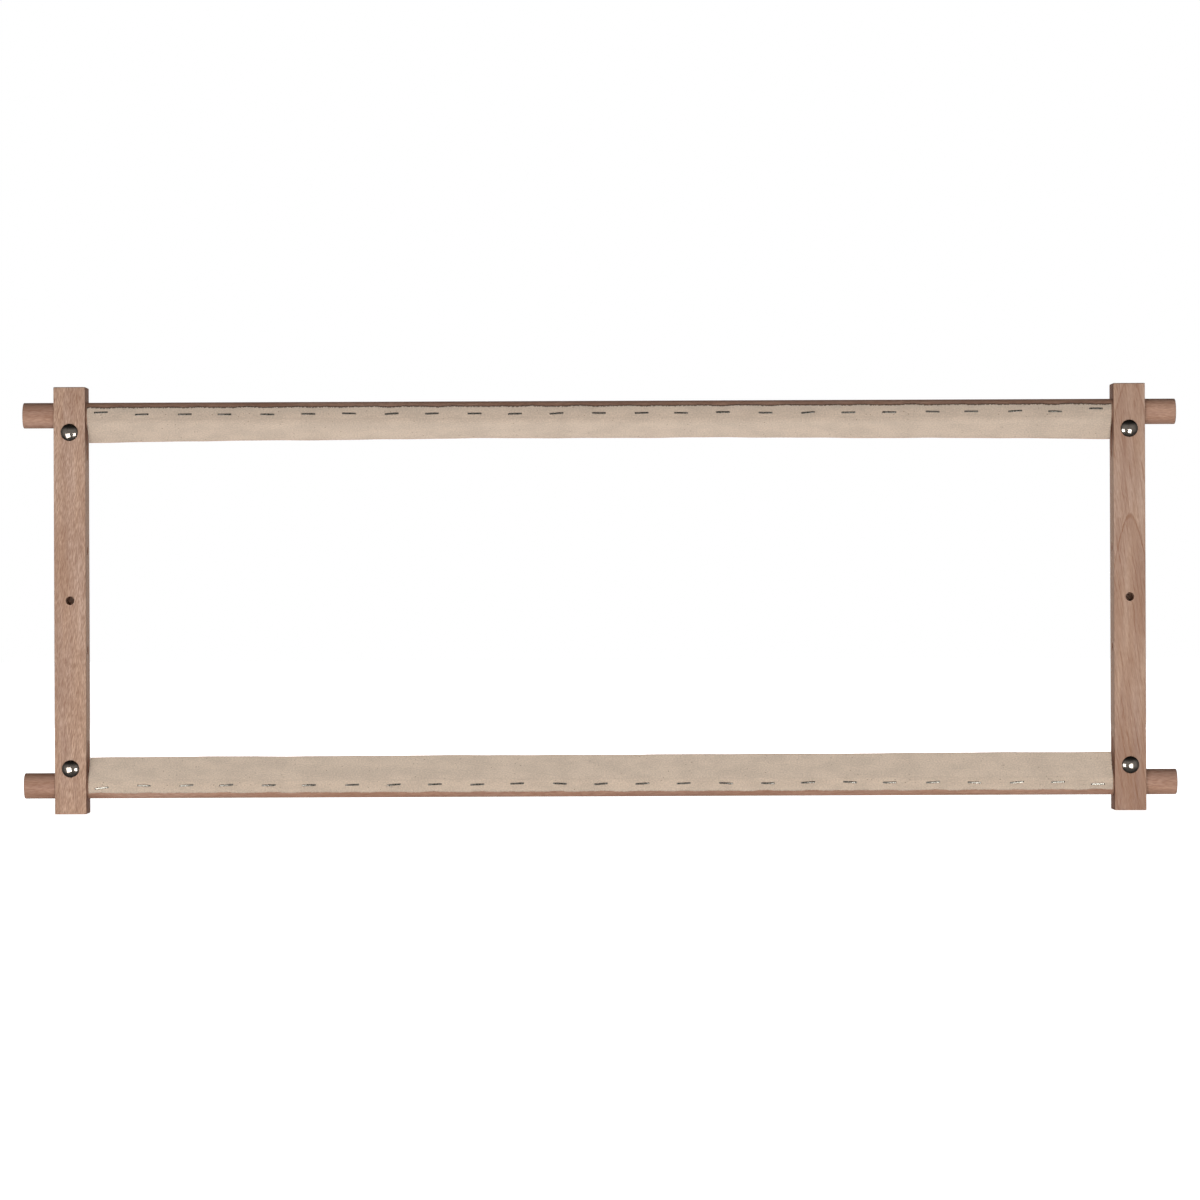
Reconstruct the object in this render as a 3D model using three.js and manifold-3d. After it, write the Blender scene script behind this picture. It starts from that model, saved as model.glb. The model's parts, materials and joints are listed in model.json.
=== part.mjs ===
// Rotating tapestry frame: two slotted end bars clamp two rollers that carry the canvas.
// Each bar end is a wooden clamp: a bolt and a wing nut close a saw slot on the roller.
// A cotton tape is stapled along each roller, and the canvas is sewn to its free edge.
// Millimetres, +Z up. The frame stands on its bar ends, and its front looks towards -Y.
import * as THREE from "three";
import { mergeVertices } from "three/addons/utils/BufferGeometryUtils.js";
import Module from "manifold-3d";

const wasm = await Module();
wasm.setup();

// Tape: its length is the widest canvas that the frame takes.
const TAPE_LENGTH = 762;
const TAPE_WIDTH = 31.75;
const TAPE_THICKNESS = 0.8;
const TAPE_END_GAP = 1; // from a tape's end to the bar beside it
const TAPE_SEAT_GAP = 0.25; // from the tape to its dowel
const TOP_STAPLED_EDGE = 38; // degrees round the dowel, from its front to the stapled edge
const BOTTOM_STAPLED_EDGE = 33;
const TOP_LEAVES_AT = [42, 53, 42]; // degrees from the front where the tape leaves: left, middle, right
const BOTTOM_LEAVES_AT = [41, 38.5, 34];

// Dowels, the rollers' cores.
const DOWEL_DIAMETER = 19;
const DOWEL_OVERHANG = 23.75; // the handle outside each bar
const DOWEL_EDGE_ROUND = 0.9;
const DOWEL_CLEARANCE = 0.3; // all round, in its bore
const DOWEL_SPACING = 276; // from the top dowel's axis to the bottom one's

// End bars.
const BAR_WIDTH = 23.5; // along X
const BAR_DEPTH = 28; // along Y
const BAR_PAST_DOWEL = 20.75; // from a dowel's axis to the bar's end
const BAR_EDGE_ROUND = 0.6;
const SLOT_WIDTH = 6; // the clamping slot, in the middle of the bar's depth
const SLOT_PAST_BOLT = 21; // from the bolt's axis to the slot's round end
const STAND_HOLE_DIAMETER = 6.2; // from the front, half way up the bar
const STAND_HOLE_FLOOR = 6; // the wood left behind its drilled point
const STAND_HOLE_POINT = 1.8; // the length of that point
const SIDE_HOLE_DIAMETER = 6; // side to side, in the middle of the bar's depth
const SIDE_HOLE_SPACING = 74;

// Clamp bolts: domed head, square neck, standard 5 mm shank.
const BOLT_CLEAR_OF_DOWEL = 1; // between the dowel and the shank, on the side of the bar's middle
const BOLT_DIAMETER = 5;
const BOLT_PAST_NUT = 5.6; // the tip, beyond the nut's body
const BOLT_HEAD_DIAMETER = 13;
const BOLT_HEAD_HEIGHT = 3.1;
const BOLT_HEAD_RIM = 0.4; // straight edge below the dome
const BOLT_NECK_STEP = 0.2; // how far each flat of the neck stands out from the shank
const BOLT_NECK_LENGTH = 3.6;
const BOLT_TIP_CHAMFER = 0.7;
const BOLT_CLEARANCE = 0.3; // all round, in wood, washer and nut

// Washers and wing nuts.
const WASHER_DIAMETER = 15;
const WASHER_THICKNESS = 1.2;
const WASHER_EDGE = 0.15;
const NUT_BASE_WALL = 2.7;
const NUT_TOP_WALL = 1.7;
const NUT_BODY_HEIGHT = 5.2;
const NUT_EDGE = 0.4;
const WING_SPAN = 25;
const WING_HEIGHT = 13;
const WING_THICKNESS = 2.6; // at the nut's body
const WING_TIP_SHARE = 0.72; // the tip's thickness, as a share of that at the body
const WING_EAR_RADIUS = 3.3;
const WING_ROOT_HEIGHT = 1;
const WING_SWEEP = 1.5; // how far the wing's underside bows out below a straight line
const WING_FILLET = 1; // above the nut's body, where the wing's upper edge comes down to it

// Steps of the round forms.
const DOWEL_SIDES = 48;
const HOLE_SIDES = 24;
const BOLT_SIDES = 30;
const EDGE_STEPS = 2; // a bar's small corner round
const DOWEL_EDGE_STEPS = 3;
const SLOT_END_STEPS = 8;
const DOME_STEPS = 6;
const EAR_STEPS = 13;
const SWEEP_STEPS = 5;
const BEND_STEPS = 10;
const FLAP_STEPS = 3;
const TAPE_STATIONS = 16;

// Places that follow from the sizes above.
const barGap = TAPE_LENGTH + 2 * TAPE_END_GAP;
const barX = barGap / 2 + BAR_WIDTH / 2;
const dowelLength = barGap + 2 * (BAR_WIDTH + DOWEL_OVERHANG);
const dowelRadius = DOWEL_DIAMETER / 2;
const dowelUp = DOWEL_SPACING / 2; // from the bar's middle
const barLength = DOWEL_SPACING + 2 * BAR_PAST_DOWEL;
const boreRadius = dowelRadius + DOWEL_CLEARANCE;
const boltUp = dowelUp - dowelRadius - BOLT_CLEAR_OF_DOWEL - BOLT_DIAMETER / 2;
const slotEndUp = boltUp - SLOT_PAST_BOLT;
const boltLength = BAR_DEPTH + WASHER_THICKNESS + NUT_BODY_HEIGHT + BOLT_PAST_NUT;
const boltNeckWidth = BOLT_DIAMETER + 2 * BOLT_NECK_STEP;
const boltHoleRadius = BOLT_DIAMETER / 2 + BOLT_CLEARANCE;
const nutBaseRadius = boltHoleRadius + NUT_BASE_WALL;
const nutTopRadius = boltHoleRadius + NUT_TOP_WALL;
const frontReach = BAR_DEPTH / 2 + BOLT_HEAD_HEIGHT;
const nutBack = WASHER_THICKNESS + WING_HEIGHT;
const boltBack = boltLength - BAR_DEPTH;
const backReach = BAR_DEPTH / 2 + Math.max(nutBack, boltBack);
const middle = new THREE.Vector3(0, (frontReach - backReach) / 2, barLength / 2);

const beechLight = new THREE.MeshStandardMaterial({ color: 0xb19280, roughness: 0.62 });
const beechDark = new THREE.MeshStandardMaterial({ color: 0xa88a76, roughness: 0.62 });
const dowelBeech = new THREE.MeshStandardMaterial({ color: 0xa5826f, roughness: 0.6 });
const cotton = new THREE.MeshStandardMaterial({ color: 0xc5b4a2, roughness: 0.95 });
const plated = new THREE.MeshStandardMaterial({ color: 0xb8b6b0, roughness: 0.22, metalness: 1 });

const radians = THREE.MathUtils.degToRad;

// Points along an arc in a plane, angles in degrees, both ends included.
function arc(x, y, radius, from, to, steps) {
  return Array.from({ length: steps + 1 }, (_, i) => {
    const angle = radians(from + ((to - from) * i) / steps);
    return new THREE.Vector2(x + radius * Math.cos(angle), y + radius * Math.sin(angle));
  });
}

// A closed ring of points, without the doubled last one.
function ring(x, y, radius, sides) {
  return arc(x, y, radius, 0, 360, sides).slice(0, -1);
}

// A rectangle about the origin with small round corners.
function roundedRectangle(width, height, radius) {
  const x = width / 2 - radius;
  const y = height / 2 - radius;
  return [
    ...arc(x, -y, radius, -90, 0, EDGE_STEPS),
    ...arc(x, y, radius, 0, 90, EDGE_STEPS),
    ...arc(-x, y, radius, 90, 180, EDGE_STEPS),
    ...arc(-x, -y, radius, 180, 270, EDGE_STEPS),
  ];
}

// An outline with holes, extruded about the middle of its depth with eased edges.
function easedPlate(outline, holes, depth, ease) {
  const shape = new THREE.Shape(outline);
  shape.holes = holes.map((points) => new THREE.Path(points));
  const geometry = new THREE.ExtrudeGeometry(shape, {
    depth: depth - 2 * ease,
    bevelThickness: ease,
    bevelSize: ease,
    bevelOffset: -ease,
    bevelSegments: 1,
  });
  return geometry.translate(0, 0, ease - depth / 2);
}

function solid(geometry) {
  const bare = geometry.clone();
  bare.deleteAttribute("normal");
  bare.deleteAttribute("uv");
  const merged = mergeVertices(bare, 1e-4);
  return new wasm.Manifold(
    new wasm.Mesh({
      numProp: 3,
      vertProperties: merged.attributes.position.array,
      triVerts: new Uint32Array(merged.index.array),
    }),
  );
}

function geometryOf(manifold) {
  const made = manifold.getMesh();
  const geometry = new THREE.BufferGeometry();
  geometry.setAttribute("position", new THREE.BufferAttribute(made.vertProperties, 3));
  geometry.setIndex(new THREE.BufferAttribute(made.triVerts, 1));
  geometry.computeVertexNormals();
  return geometry;
}

function piece(name, geometry, material) {
  const mesh = new THREE.Mesh(geometry, material);
  mesh.name = name;
  return mesh;
}

// Turns a shape drawn in Y and Z, and extruded, so that it is extruded along X.
const acrossX = new THREE.Matrix4().makeBasis(
  new THREE.Vector3(0, 1, 0),
  new THREE.Vector3(0, 0, 1),
  new THREE.Vector3(1, 0, 0),
);

// The bore of one dowel with the saw slot that runs from it past the bolt, as one outline.
function keyhole(end) {
  const half = SLOT_WIDTH / 2;
  const mouth = THREE.MathUtils.radToDeg(Math.asin(half / boreRadius));
  const turn = end > 0 ? 0 : 180;
  const bore = arc(0, end * dowelUp, boreRadius, mouth - 90 + turn, 270 - mouth + turn, DOWEL_SIDES);
  const slotEnd = arc(0, end * (slotEndUp + half), half, 180 + turn, 360 + turn, SLOT_END_STEPS);
  return [...bore, ...slotEnd];
}

// The drill of the stand's hole, along Y, from in front of the bar to its point in the wood.
function standHoleCutter() {
  const radius = STAND_HOLE_DIAMETER / 2;
  const start = -BAR_DEPTH / 2 - 1;
  const tip = BAR_DEPTH / 2 - STAND_HOLE_FLOOR;
  const profile = [
    new THREE.Vector2(0, start),
    new THREE.Vector2(radius, start),
    new THREE.Vector2(radius, tip - STAND_HOLE_POINT),
    new THREE.Vector2(0, tip),
  ];
  return new THREE.LatheGeometry(profile, HOLE_SIDES);
}

// An end bar about its own middle: front face at -Y, bolts from front to back.
function barGeometry() {
  const sideHoles = [-1, 1].map((end) =>
    ring(0, (end * SIDE_HOLE_SPACING) / 2, SIDE_HOLE_DIAMETER / 2, HOLE_SIDES),
  );
  const blank = easedPlate(
    roundedRectangle(BAR_DEPTH, barLength, BAR_EDGE_ROUND),
    [keyhole(1), keyhole(-1), ...sideHoles],
    BAR_WIDTH,
    BAR_EDGE_ROUND,
  ).applyMatrix4(acrossX);
  const through = BAR_DEPTH + 2;
  const drill = (radius, up) =>
    solid(new THREE.CylinderGeometry(radius, radius, through, HOLE_SIDES).translate(0, 0, up));
  const pocketWidth = boltNeckWidth + 2 * BOLT_CLEARANCE;
  const pocketDepth = BOLT_NECK_LENGTH + BOLT_CLEARANCE;
  let bar = solid(blank).subtract(solid(standHoleCutter()));
  for (const up of [boltUp, -boltUp]) {
    const pocket = new THREE.BoxGeometry(pocketWidth, 2 * pocketDepth, pocketWidth);
    bar = bar
      .subtract(drill(boltHoleRadius, up))
      .subtract(solid(pocket.translate(0, -BAR_DEPTH / 2, up)));
  }
  return geometryOf(bar);
}

// A dowel about its middle, along X.
function dowelGeometry() {
  const half = dowelLength / 2;
  const round = DOWEL_EDGE_ROUND;
  const profile = [
    new THREE.Vector2(0, -half),
    ...arc(dowelRadius - round, round - half, round, -90, 0, DOWEL_EDGE_STEPS),
    ...arc(dowelRadius - round, half - round, round, 0, 90, DOWEL_EDGE_STEPS),
    new THREE.Vector2(0, half),
  ];
  return new THREE.LatheGeometry(profile, DOWEL_SIDES).rotateZ(-Math.PI / 2);
}

// Where the tape's underside and top lie along its width, as pairs of [Y, Z] from the dowel's
// axis. It lies on the dowel from the stapled edge to where it leaves, then runs straight.
function tapeSection(stapledEdge, leavesAt) {
  const inside = dowelRadius + TAPE_SEAT_GAP;
  const wrapped = radians(stapledEdge + leavesAt) * (inside + TAPE_THICKNESS / 2);
  const free = TAPE_WIDTH - wrapped;
  const pairs = [];
  for (let i = 0; i <= BEND_STEPS; i++) {
    const angle = radians(-stapledEdge + ((stapledEdge + leavesAt) * i) / BEND_STEPS);
    const out = new THREE.Vector2(-Math.cos(angle), -Math.sin(angle));
    pairs.push([
      out.clone().multiplyScalar(inside),
      out.clone().multiplyScalar(inside + TAPE_THICKNESS),
    ]);
  }
  const angle = radians(leavesAt);
  const along = new THREE.Vector2(Math.sin(angle), -Math.cos(angle));
  const [under, over] = pairs[pairs.length - 1];
  for (let i = 1; i <= FLAP_STEPS; i++) {
    const run = along.clone().multiplyScalar((free * i) / FLAP_STEPS);
    pairs.push([under.clone().add(run), over.clone().add(run)]);
  }
  return pairs;
}

// A tape as a closed sheet: one section a station, which leaves the dowel at its own angle.
// inward is -1 on the top dowel, whose free edge hangs, and 1 on the bottom one.
function tapeGeometry(stapledEdge, leavesAt, inward) {
  const [left, centre, right] = leavesAt;
  const places = [];
  for (let i = 0; i <= TAPE_STATIONS; i++) {
    const share = i / TAPE_STATIONS;
    const side = share < 0.5 ? left : right;
    const bend = side + (centre - side) * Math.sin(Math.PI * share);
    for (const [under, over] of tapeSection(stapledEdge, bend))
      for (const point of [under, over])
        places.push((share - 0.5) * TAPE_LENGTH, point.x, -inward * point.y);
  }
  const pairs = BEND_STEPS + FLAP_STEPS + 1;
  const at = (station, pair, top) => (station * pairs + pair) * 2 + top;
  const faces = [];
  const quad = (a, b, c, d) =>
    faces.push(...(inward < 0 ? [a, b, c, a, c, d] : [a, c, b, a, d, c]));
  for (let s = 0; s < TAPE_STATIONS; s++) {
    for (let p = 0; p < pairs - 1; p++) {
      quad(at(s, p, 1), at(s, p + 1, 1), at(s + 1, p + 1, 1), at(s + 1, p, 1));
      quad(at(s, p, 0), at(s + 1, p, 0), at(s + 1, p + 1, 0), at(s, p + 1, 0));
    }
    quad(at(s, 0, 0), at(s, 0, 1), at(s + 1, 0, 1), at(s + 1, 0, 0));
    const last = pairs - 1;
    quad(at(s, last, 1), at(s, last, 0), at(s + 1, last, 0), at(s + 1, last, 1));
  }
  for (let p = 0; p < pairs - 1; p++) {
    quad(at(0, p, 0), at(0, p + 1, 0), at(0, p + 1, 1), at(0, p, 1));
    const s = TAPE_STATIONS;
    quad(at(s, p, 0), at(s, p, 1), at(s, p + 1, 1), at(s, p + 1, 0));
  }
  const geometry = new THREE.BufferGeometry();
  geometry.setAttribute("position", new THREE.Float32BufferAttribute(places, 3));
  geometry.setIndex(faces);
  geometry.computeVertexNormals();
  return geometry;
}

// A bolt along Y with the head's seat at the origin and the tip at +Y.
function boltGeometry() {
  const headRadius = BOLT_HEAD_DIAMETER / 2;
  const radius = BOLT_DIAMETER / 2;
  const rise = BOLT_HEAD_HEIGHT - BOLT_HEAD_RIM;
  const domeRadius = (headRadius ** 2 + rise ** 2) / (2 * rise);
  const domeAngle = THREE.MathUtils.radToDeg(Math.asin(headRadius / domeRadius));
  const domeUp = domeRadius - BOLT_HEAD_HEIGHT;
  const dome = arc(0, domeUp, domeRadius, -90, domeAngle - 90, DOME_STEPS);
  const profile = [
    ...dome,
    new THREE.Vector2(headRadius, 0),
    new THREE.Vector2(radius, 0),
    new THREE.Vector2(radius, boltLength - BOLT_TIP_CHAMFER),
    new THREE.Vector2(radius - BOLT_TIP_CHAMFER, boltLength),
    new THREE.Vector2(0, boltLength),
  ];
  const neck = new THREE.BoxGeometry(boltNeckWidth, BOLT_NECK_LENGTH, boltNeckWidth);
  neck.translate(0, BOLT_NECK_LENGTH / 2, 0);
  return geometryOf(solid(new THREE.LatheGeometry(profile, BOLT_SIDES)).add(solid(neck)));
}

// A washer along Y, from the origin to its thickness.
function washerGeometry() {
  const outline = ring(0, 0, WASHER_DIAMETER / 2, HOLE_SIDES);
  const hole = ring(0, 0, boltHoleRadius, HOLE_SIDES);
  const flat = easedPlate(outline, [hole], WASHER_THICKNESS, WASHER_EDGE);
  return flat.translate(0, 0, WASHER_THICKNESS / 2).rotateX(-Math.PI / 2);
}

// One wing in X and Y: it sweeps up from the body's foot, rounds its ear and comes back
// down to the body's top. It is thinner at the tip.
function wingGeometry() {
  const inside = (boltHoleRadius + nutTopRadius) / 2;
  const earX = WING_SPAN / 2 - WING_EAR_RADIUS;
  const earY = WING_HEIGHT - WING_EAR_RADIUS;
  const ear = arc(earX, earY, WING_EAR_RADIUS, -45, 150, EAR_STEPS);
  const foot = new THREE.Vector2(nutBaseRadius - NUT_EDGE, WING_ROOT_HEIGHT);
  const top = new THREE.Vector2(nutTopRadius - NUT_EDGE, NUT_BODY_HEIGHT - NUT_EDGE);
  const under = new THREE.Vector2(earX, WING_ROOT_HEIGHT + WING_SWEEP);
  const over = new THREE.Vector2(top.x + WING_FILLET / 2, top.y + WING_FILLET);
  const sweep = (from, bend, to) =>
    new THREE.QuadraticBezierCurve(from, bend, to).getPoints(SWEEP_STEPS);
  const outline = [
    new THREE.Vector2(inside, WING_ROOT_HEIGHT),
    ...sweep(foot, under, ear[0]),
    ...ear.slice(1, -1),
    ...sweep(ear[ear.length - 1], over, top),
    new THREE.Vector2(inside, top.y),
  ];
  const wing = easedPlate(outline, [], WING_THICKNESS, NUT_EDGE);
  const place = wing.attributes.position;
  for (let i = 0; i < place.count; i++) {
    const share = (place.getX(i) - inside) / (WING_SPAN / 2 - inside);
    place.setZ(i, place.getZ(i) * (1 - (1 - WING_TIP_SHARE) * share));
  }
  return wing;
}

// A wing nut along Y with its foot at the origin and its wings along X.
function wingNutGeometry() {
  const body = new THREE.LatheGeometry(
    [
      new THREE.Vector2(0, 0),
      new THREE.Vector2(nutBaseRadius - NUT_EDGE, 0),
      new THREE.Vector2(nutBaseRadius, NUT_EDGE),
      new THREE.Vector2(nutTopRadius, NUT_BODY_HEIGHT - NUT_EDGE),
      new THREE.Vector2(nutTopRadius - NUT_EDGE, NUT_BODY_HEIGHT),
      new THREE.Vector2(0, NUT_BODY_HEIGHT),
    ],
    BOLT_SIDES,
  );
  const wing = wingGeometry();
  const other = wing.clone().rotateY(Math.PI);
  const bore = new THREE.CylinderGeometry(boltHoleRadius, boltHoleRadius, 4 * WING_HEIGHT, HOLE_SIDES);
  return geometryOf(solid(body).add(solid(wing)).add(solid(other)).subtract(solid(bore)));
}

// The whole frame, about the middle between its bars.
function frame() {
  const group = new THREE.Group();
  const bar = barGeometry();
  const dowel = dowelGeometry();
  const bolt = boltGeometry();
  const washer = washerGeometry();
  const wingNut = wingNutGeometry();
  const tapes = {
    top: tapeGeometry(TOP_STAPLED_EDGE, TOP_LEAVES_AT, -1),
    bottom: tapeGeometry(BOTTOM_STAPLED_EDGE, BOTTOM_LEAVES_AT, 1),
  };
  const sides = { left: -1, right: 1 };
  const ends = { top: 1, bottom: -1 };
  for (const [end, up] of Object.entries(ends)) {
    const roller = new THREE.Group();
    roller.position.z = up * dowelUp;
    roller.add(piece(`${end}_dowel`, dowel, dowelBeech));
    roller.add(piece(`${end}_webbing`, tapes[end], cotton));
    group.add(roller);
  }
  for (const [side, along] of Object.entries(sides)) {
    const post = new THREE.Group();
    post.position.x = along * barX;
    post.add(piece(`${side}_bar`, bar, along < 0 ? beechLight : beechDark));
    for (const [end, up] of Object.entries(ends)) {
      const clamp = new THREE.Group();
      clamp.position.z = up * boltUp;
      const head = piece(`${side}_${end}_bolt`, bolt, plated);
      head.position.y = -BAR_DEPTH / 2;
      const ringUnder = piece(`${side}_${end}_washer`, washer, plated);
      ringUnder.position.y = BAR_DEPTH / 2;
      const nut = piece(`${side}_${end}_wing_nut`, wingNut, plated);
      nut.position.y = BAR_DEPTH / 2 + WASHER_THICKNESS;
      nut.rotation.y = Math.PI / 2;
      clamp.add(head, ringUnder, nut);
      post.add(clamp);
    }
    group.add(post);
  }
  group.position.copy(middle);
  return group;
}

export default frame();
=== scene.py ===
# %% [markdown]
# # A rotating tapestry frame in beech, cotton and plated steel
#
# Two upright bars clamp two round rollers. A cotton tape is stapled along each roller, the
# canvas is sewn to the tapes' free edges, and the rollers turn to wind it on. The packed
# model says where every piece is and how it moves. This script gives each piece its finish,
# and rebuilds the ones whose fine shape shows: eased wood, woven cloth, bent wire, cast nuts.
#
# Lengths are in millimetres while a piece is being shaped, as a maker would say them, and
# become metres when its mesh is made.

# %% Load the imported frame
import json
import math
import random

import bmesh
import bpy
import numpy as np
from mathutils import Matrix, Vector
from mathutils.geometry import tessellate_polygon

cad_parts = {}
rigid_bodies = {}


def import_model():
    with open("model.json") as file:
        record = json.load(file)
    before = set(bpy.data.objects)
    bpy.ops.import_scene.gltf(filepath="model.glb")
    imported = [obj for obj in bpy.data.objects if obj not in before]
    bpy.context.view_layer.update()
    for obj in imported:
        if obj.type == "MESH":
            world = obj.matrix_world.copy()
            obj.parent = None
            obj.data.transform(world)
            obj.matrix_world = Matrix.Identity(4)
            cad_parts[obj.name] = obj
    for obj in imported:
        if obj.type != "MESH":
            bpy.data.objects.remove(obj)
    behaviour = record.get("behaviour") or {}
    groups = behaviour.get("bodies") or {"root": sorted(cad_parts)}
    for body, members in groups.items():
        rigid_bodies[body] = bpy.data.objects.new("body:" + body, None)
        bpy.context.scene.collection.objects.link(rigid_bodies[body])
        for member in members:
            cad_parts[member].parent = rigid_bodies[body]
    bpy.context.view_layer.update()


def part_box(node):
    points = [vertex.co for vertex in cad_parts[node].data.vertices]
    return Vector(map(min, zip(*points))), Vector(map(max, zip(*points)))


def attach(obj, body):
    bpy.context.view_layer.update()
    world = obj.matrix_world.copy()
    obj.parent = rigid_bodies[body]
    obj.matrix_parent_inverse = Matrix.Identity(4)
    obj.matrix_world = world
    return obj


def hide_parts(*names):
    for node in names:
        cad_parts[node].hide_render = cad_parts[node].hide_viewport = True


for leftover in list(bpy.data.objects):
    bpy.data.objects.remove(leftover)
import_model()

# %% [markdown]
# ## Where things are
#
# Every size that the frame already knows is read from it, so that nothing has to be fitted:
# the bars' faces, the rollers' axes and the places of the four clamps.

# %% Places read from the frame
MM = 0.001
SIDES = ("left", "right")
ENDS = ("top", "bottom")
CLAMPS = [(side, end) for side in SIDES for end in ENDS]
FLIP = {"top": 1, "bottom": -1}  # the bottom end is the top one upside down


def box_mm(node):
    """Lowest and highest corner of a CAD node, in millimetres."""
    low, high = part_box(node)
    return np.array(low) / MM, np.array(high) / MM


bar_box = {side: box_mm(f"{side}_bar") for side in SIDES}
roller_box = {end: box_mm(f"{end}_dowel") for end in ENDS}
washer_box = {end: box_mm(f"left_{end}_washer") for end in ENDS}
bar_low, bar_high = bar_box["left"]
bar_width, bar_depth, bar_length = bar_high - bar_low
bar_front, bar_back = bar_low[1], bar_high[1]
bar_middle_y = (bar_front + bar_back) / 2
bar_x = {side: (low[0] + high[0]) / 2 for side, (low, high) in bar_box.items()}
roller_low, roller_high = roller_box["top"]
roller_y = (roller_low[1] + roller_high[1]) / 2
roller_radius = (roller_high[2] - roller_low[2]) / 2
roller_half = roller_high[0]
roller_z = {end: (low[2] + high[2]) / 2 for end, (low, high) in roller_box.items()}
clamp_z = {end: (low[2] + high[2]) / 2 for end, (low, high) in washer_box.items()}
print("bar", bar_width, bar_depth, bar_length, "roller", roller_radius, roller_z, "clamps", clamp_z)

# %% [markdown]
# ## The camera
#
# The frame was photographed square on, from about three and a half metres and with a long
# lens, so both the front faces and a few millimetres of the bars' inner faces show. The
# camera stands opposite the middle of the frame and is turned by a quarter of a degree.

# %% Camera
CAMERA_PLACE = (0.05, -3640.0, 157.71)
CAMERA_LENS, SENSOR_WIDTH = 146.2, 36
CAMERA_ROLL = math.radians(0.225)


def in_scene(name, data):
    """A new object that holds data, in the scene."""
    made = bpy.data.objects.new(name, data)
    bpy.context.scene.collection.objects.link(made)
    return made


camera_data = bpy.data.cameras.new("camera")
camera_data.lens, camera_data.sensor_width = CAMERA_LENS, SENSOR_WIDTH
camera_data.clip_start, camera_data.clip_end = 0.05, 60
camera = in_scene("camera", camera_data)
across = Vector((math.cos(CAMERA_ROLL), 0, -math.sin(CAMERA_ROLL)))
upwards = Vector((math.sin(CAMERA_ROLL), 0, math.cos(CAMERA_ROLL)))
turn = Matrix((across, upwards, Vector((0, -1, 0)))).transposed().to_4x4()
camera.matrix_world = Matrix.Translation(Vector(CAMERA_PLACE) * MM) @ turn
bpy.context.scene.camera = camera
bpy.context.scene.view_settings.view_transform = "Standard"
print("camera", tuple(camera.location), "lens", camera_data.lens)

# %% [markdown]
# ## Writing node trees
#
# Finishes are node trees, and a tree made by hand takes many lines, so small helpers keep
# the cells short. One tree at a time is on the bench, and every helper adds its nodes to
# that one. A helper makes a node and wires it, does one step of arithmetic, or starts and
# ends a group or a material. The last one lays the nodes out in columns, so that a tree can
# be read when it is opened.

# %% Node helpers
FAMILIES = ("ShaderNode", "GeometryNode", "FunctionNode")
bench = {}


def work_on(tree):
    """Puts a tree on the bench."""
    bench["tree"] = tree
    return tree


def feed(socket, value):
    """Wires a socket to a node's first output or to another socket, or sets it to a value."""
    if isinstance(value, bpy.types.Node):
        value = value.outputs[0]
    if isinstance(value, bpy.types.NodeSocket):
        bench["tree"].links.new(value, socket)
    else:
        socket.default_value = value


def add(kind, inputs=None, **settings):
    """A node with its settings and inputs. Its kind is written without its family."""
    family = next(f for f in FAMILIES if hasattr(bpy.types, f + kind))
    node = bench["tree"].nodes.new(family + kind)
    for name, value in settings.items():
        setattr(node, name, value)
    for name, value in (inputs or {}).items():
        feed(node.inputs[name], value)
    return node


def calc(operation, *values, clamp=False):
    """One step of arithmetic."""
    return add("Math", dict(enumerate(values)), operation=operation, use_clamp=clamp).outputs[0]


def times(first, *others):
    """The product of all the values."""
    for other in others:
        first = calc("MULTIPLY", first, other)
    return first


def plus(first, second, clamp=False):
    return calc("ADD", first, second, clamp=clamp)


def minus(first, second):
    return calc("SUBTRACT", first, second)


def times_plus(value, factor, more, clamp=False):
    """value times factor, plus more."""
    return calc("MULTIPLY_ADD", value, factor, more, clamp=clamp)


def size_of(value):
    """The value without its sign."""
    return calc("ABSOLUTE", value)


def vector_calc(operation, *values, result=0):
    """One step of vector arithmetic."""
    return add("VectorMath", dict(enumerate(values)), operation=operation).outputs[result]


def stretched(place, factors):
    """A place with each of its parts multiplied by its own factor."""
    return vector_calc("MULTIPLY", place, factors)


def split(vector):
    """The X, Y and Z of a vector."""
    return add("SeparateXYZ", {"Vector": vector}).outputs


def joined(**parts):
    """A vector from its X, Y and Z."""
    return add("CombineXYZ", parts).outputs[0]


def ramp(value, low, high, start=0.0, end=1.0, smooth=True):
    """Maps value from low..high to start..end, held at both ends."""
    sockets = {"Value": value, "From Min": low, "From Max": high, "To Min": start, "To Max": end}
    return add("MapRange", sockets, interpolation_type="SMOOTHSTEP" if smooth else "LINEAR").outputs[0]


def between(factor, first, second):
    """The number that lies that share of the way from first to second."""
    return add("Mix", {"Factor": factor, "A": first, "B": second}).outputs[0]


def mixed(factor, first, second, blend="MIX"):
    """One colour mix."""
    sockets = {"Factor": factor, 6: first, 7: second}
    return add("Mix", sockets, data_type="RGBA", blend_type=blend).outputs[2]


def noise(place, factors, detail):
    """A noise node on a place stretched by these factors."""
    return add("TexNoise", {"Vector": stretched(place, factors), "Scale": 1.0, "Detail": detail})


def lay_out():
    """Puts each node one column to the right of the last node that it reads."""
    tree = bench["tree"]
    column = {node: 0 for node in tree.nodes}
    for _ in tree.nodes:
        for link in tree.links:
            column[link.to_node] = max(column[link.to_node], column[link.from_node] + 1)
    filled = {}
    for node in tree.nodes:
        row = filled.get(column[node], 0)
        node.location = (220 * column[node], -190 * row)
        filled[column[node]] = row + 1


print("node helpers for", ", ".join(FAMILIES))

# %% Groups, materials and colours
LOOK = {"Color": "Color", "Roughness": "Float", "Height": "Float"}
WHITE = (1, 1, 1, 1)


def socket_word(value):
    """The type of socket that a default value calls for. A word is the type itself."""
    if isinstance(value, tuple):
        return "Vector" if len(value) == 3 else "Color"
    return {float: "Float", int: "Int"}.get(type(value), value)


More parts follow.
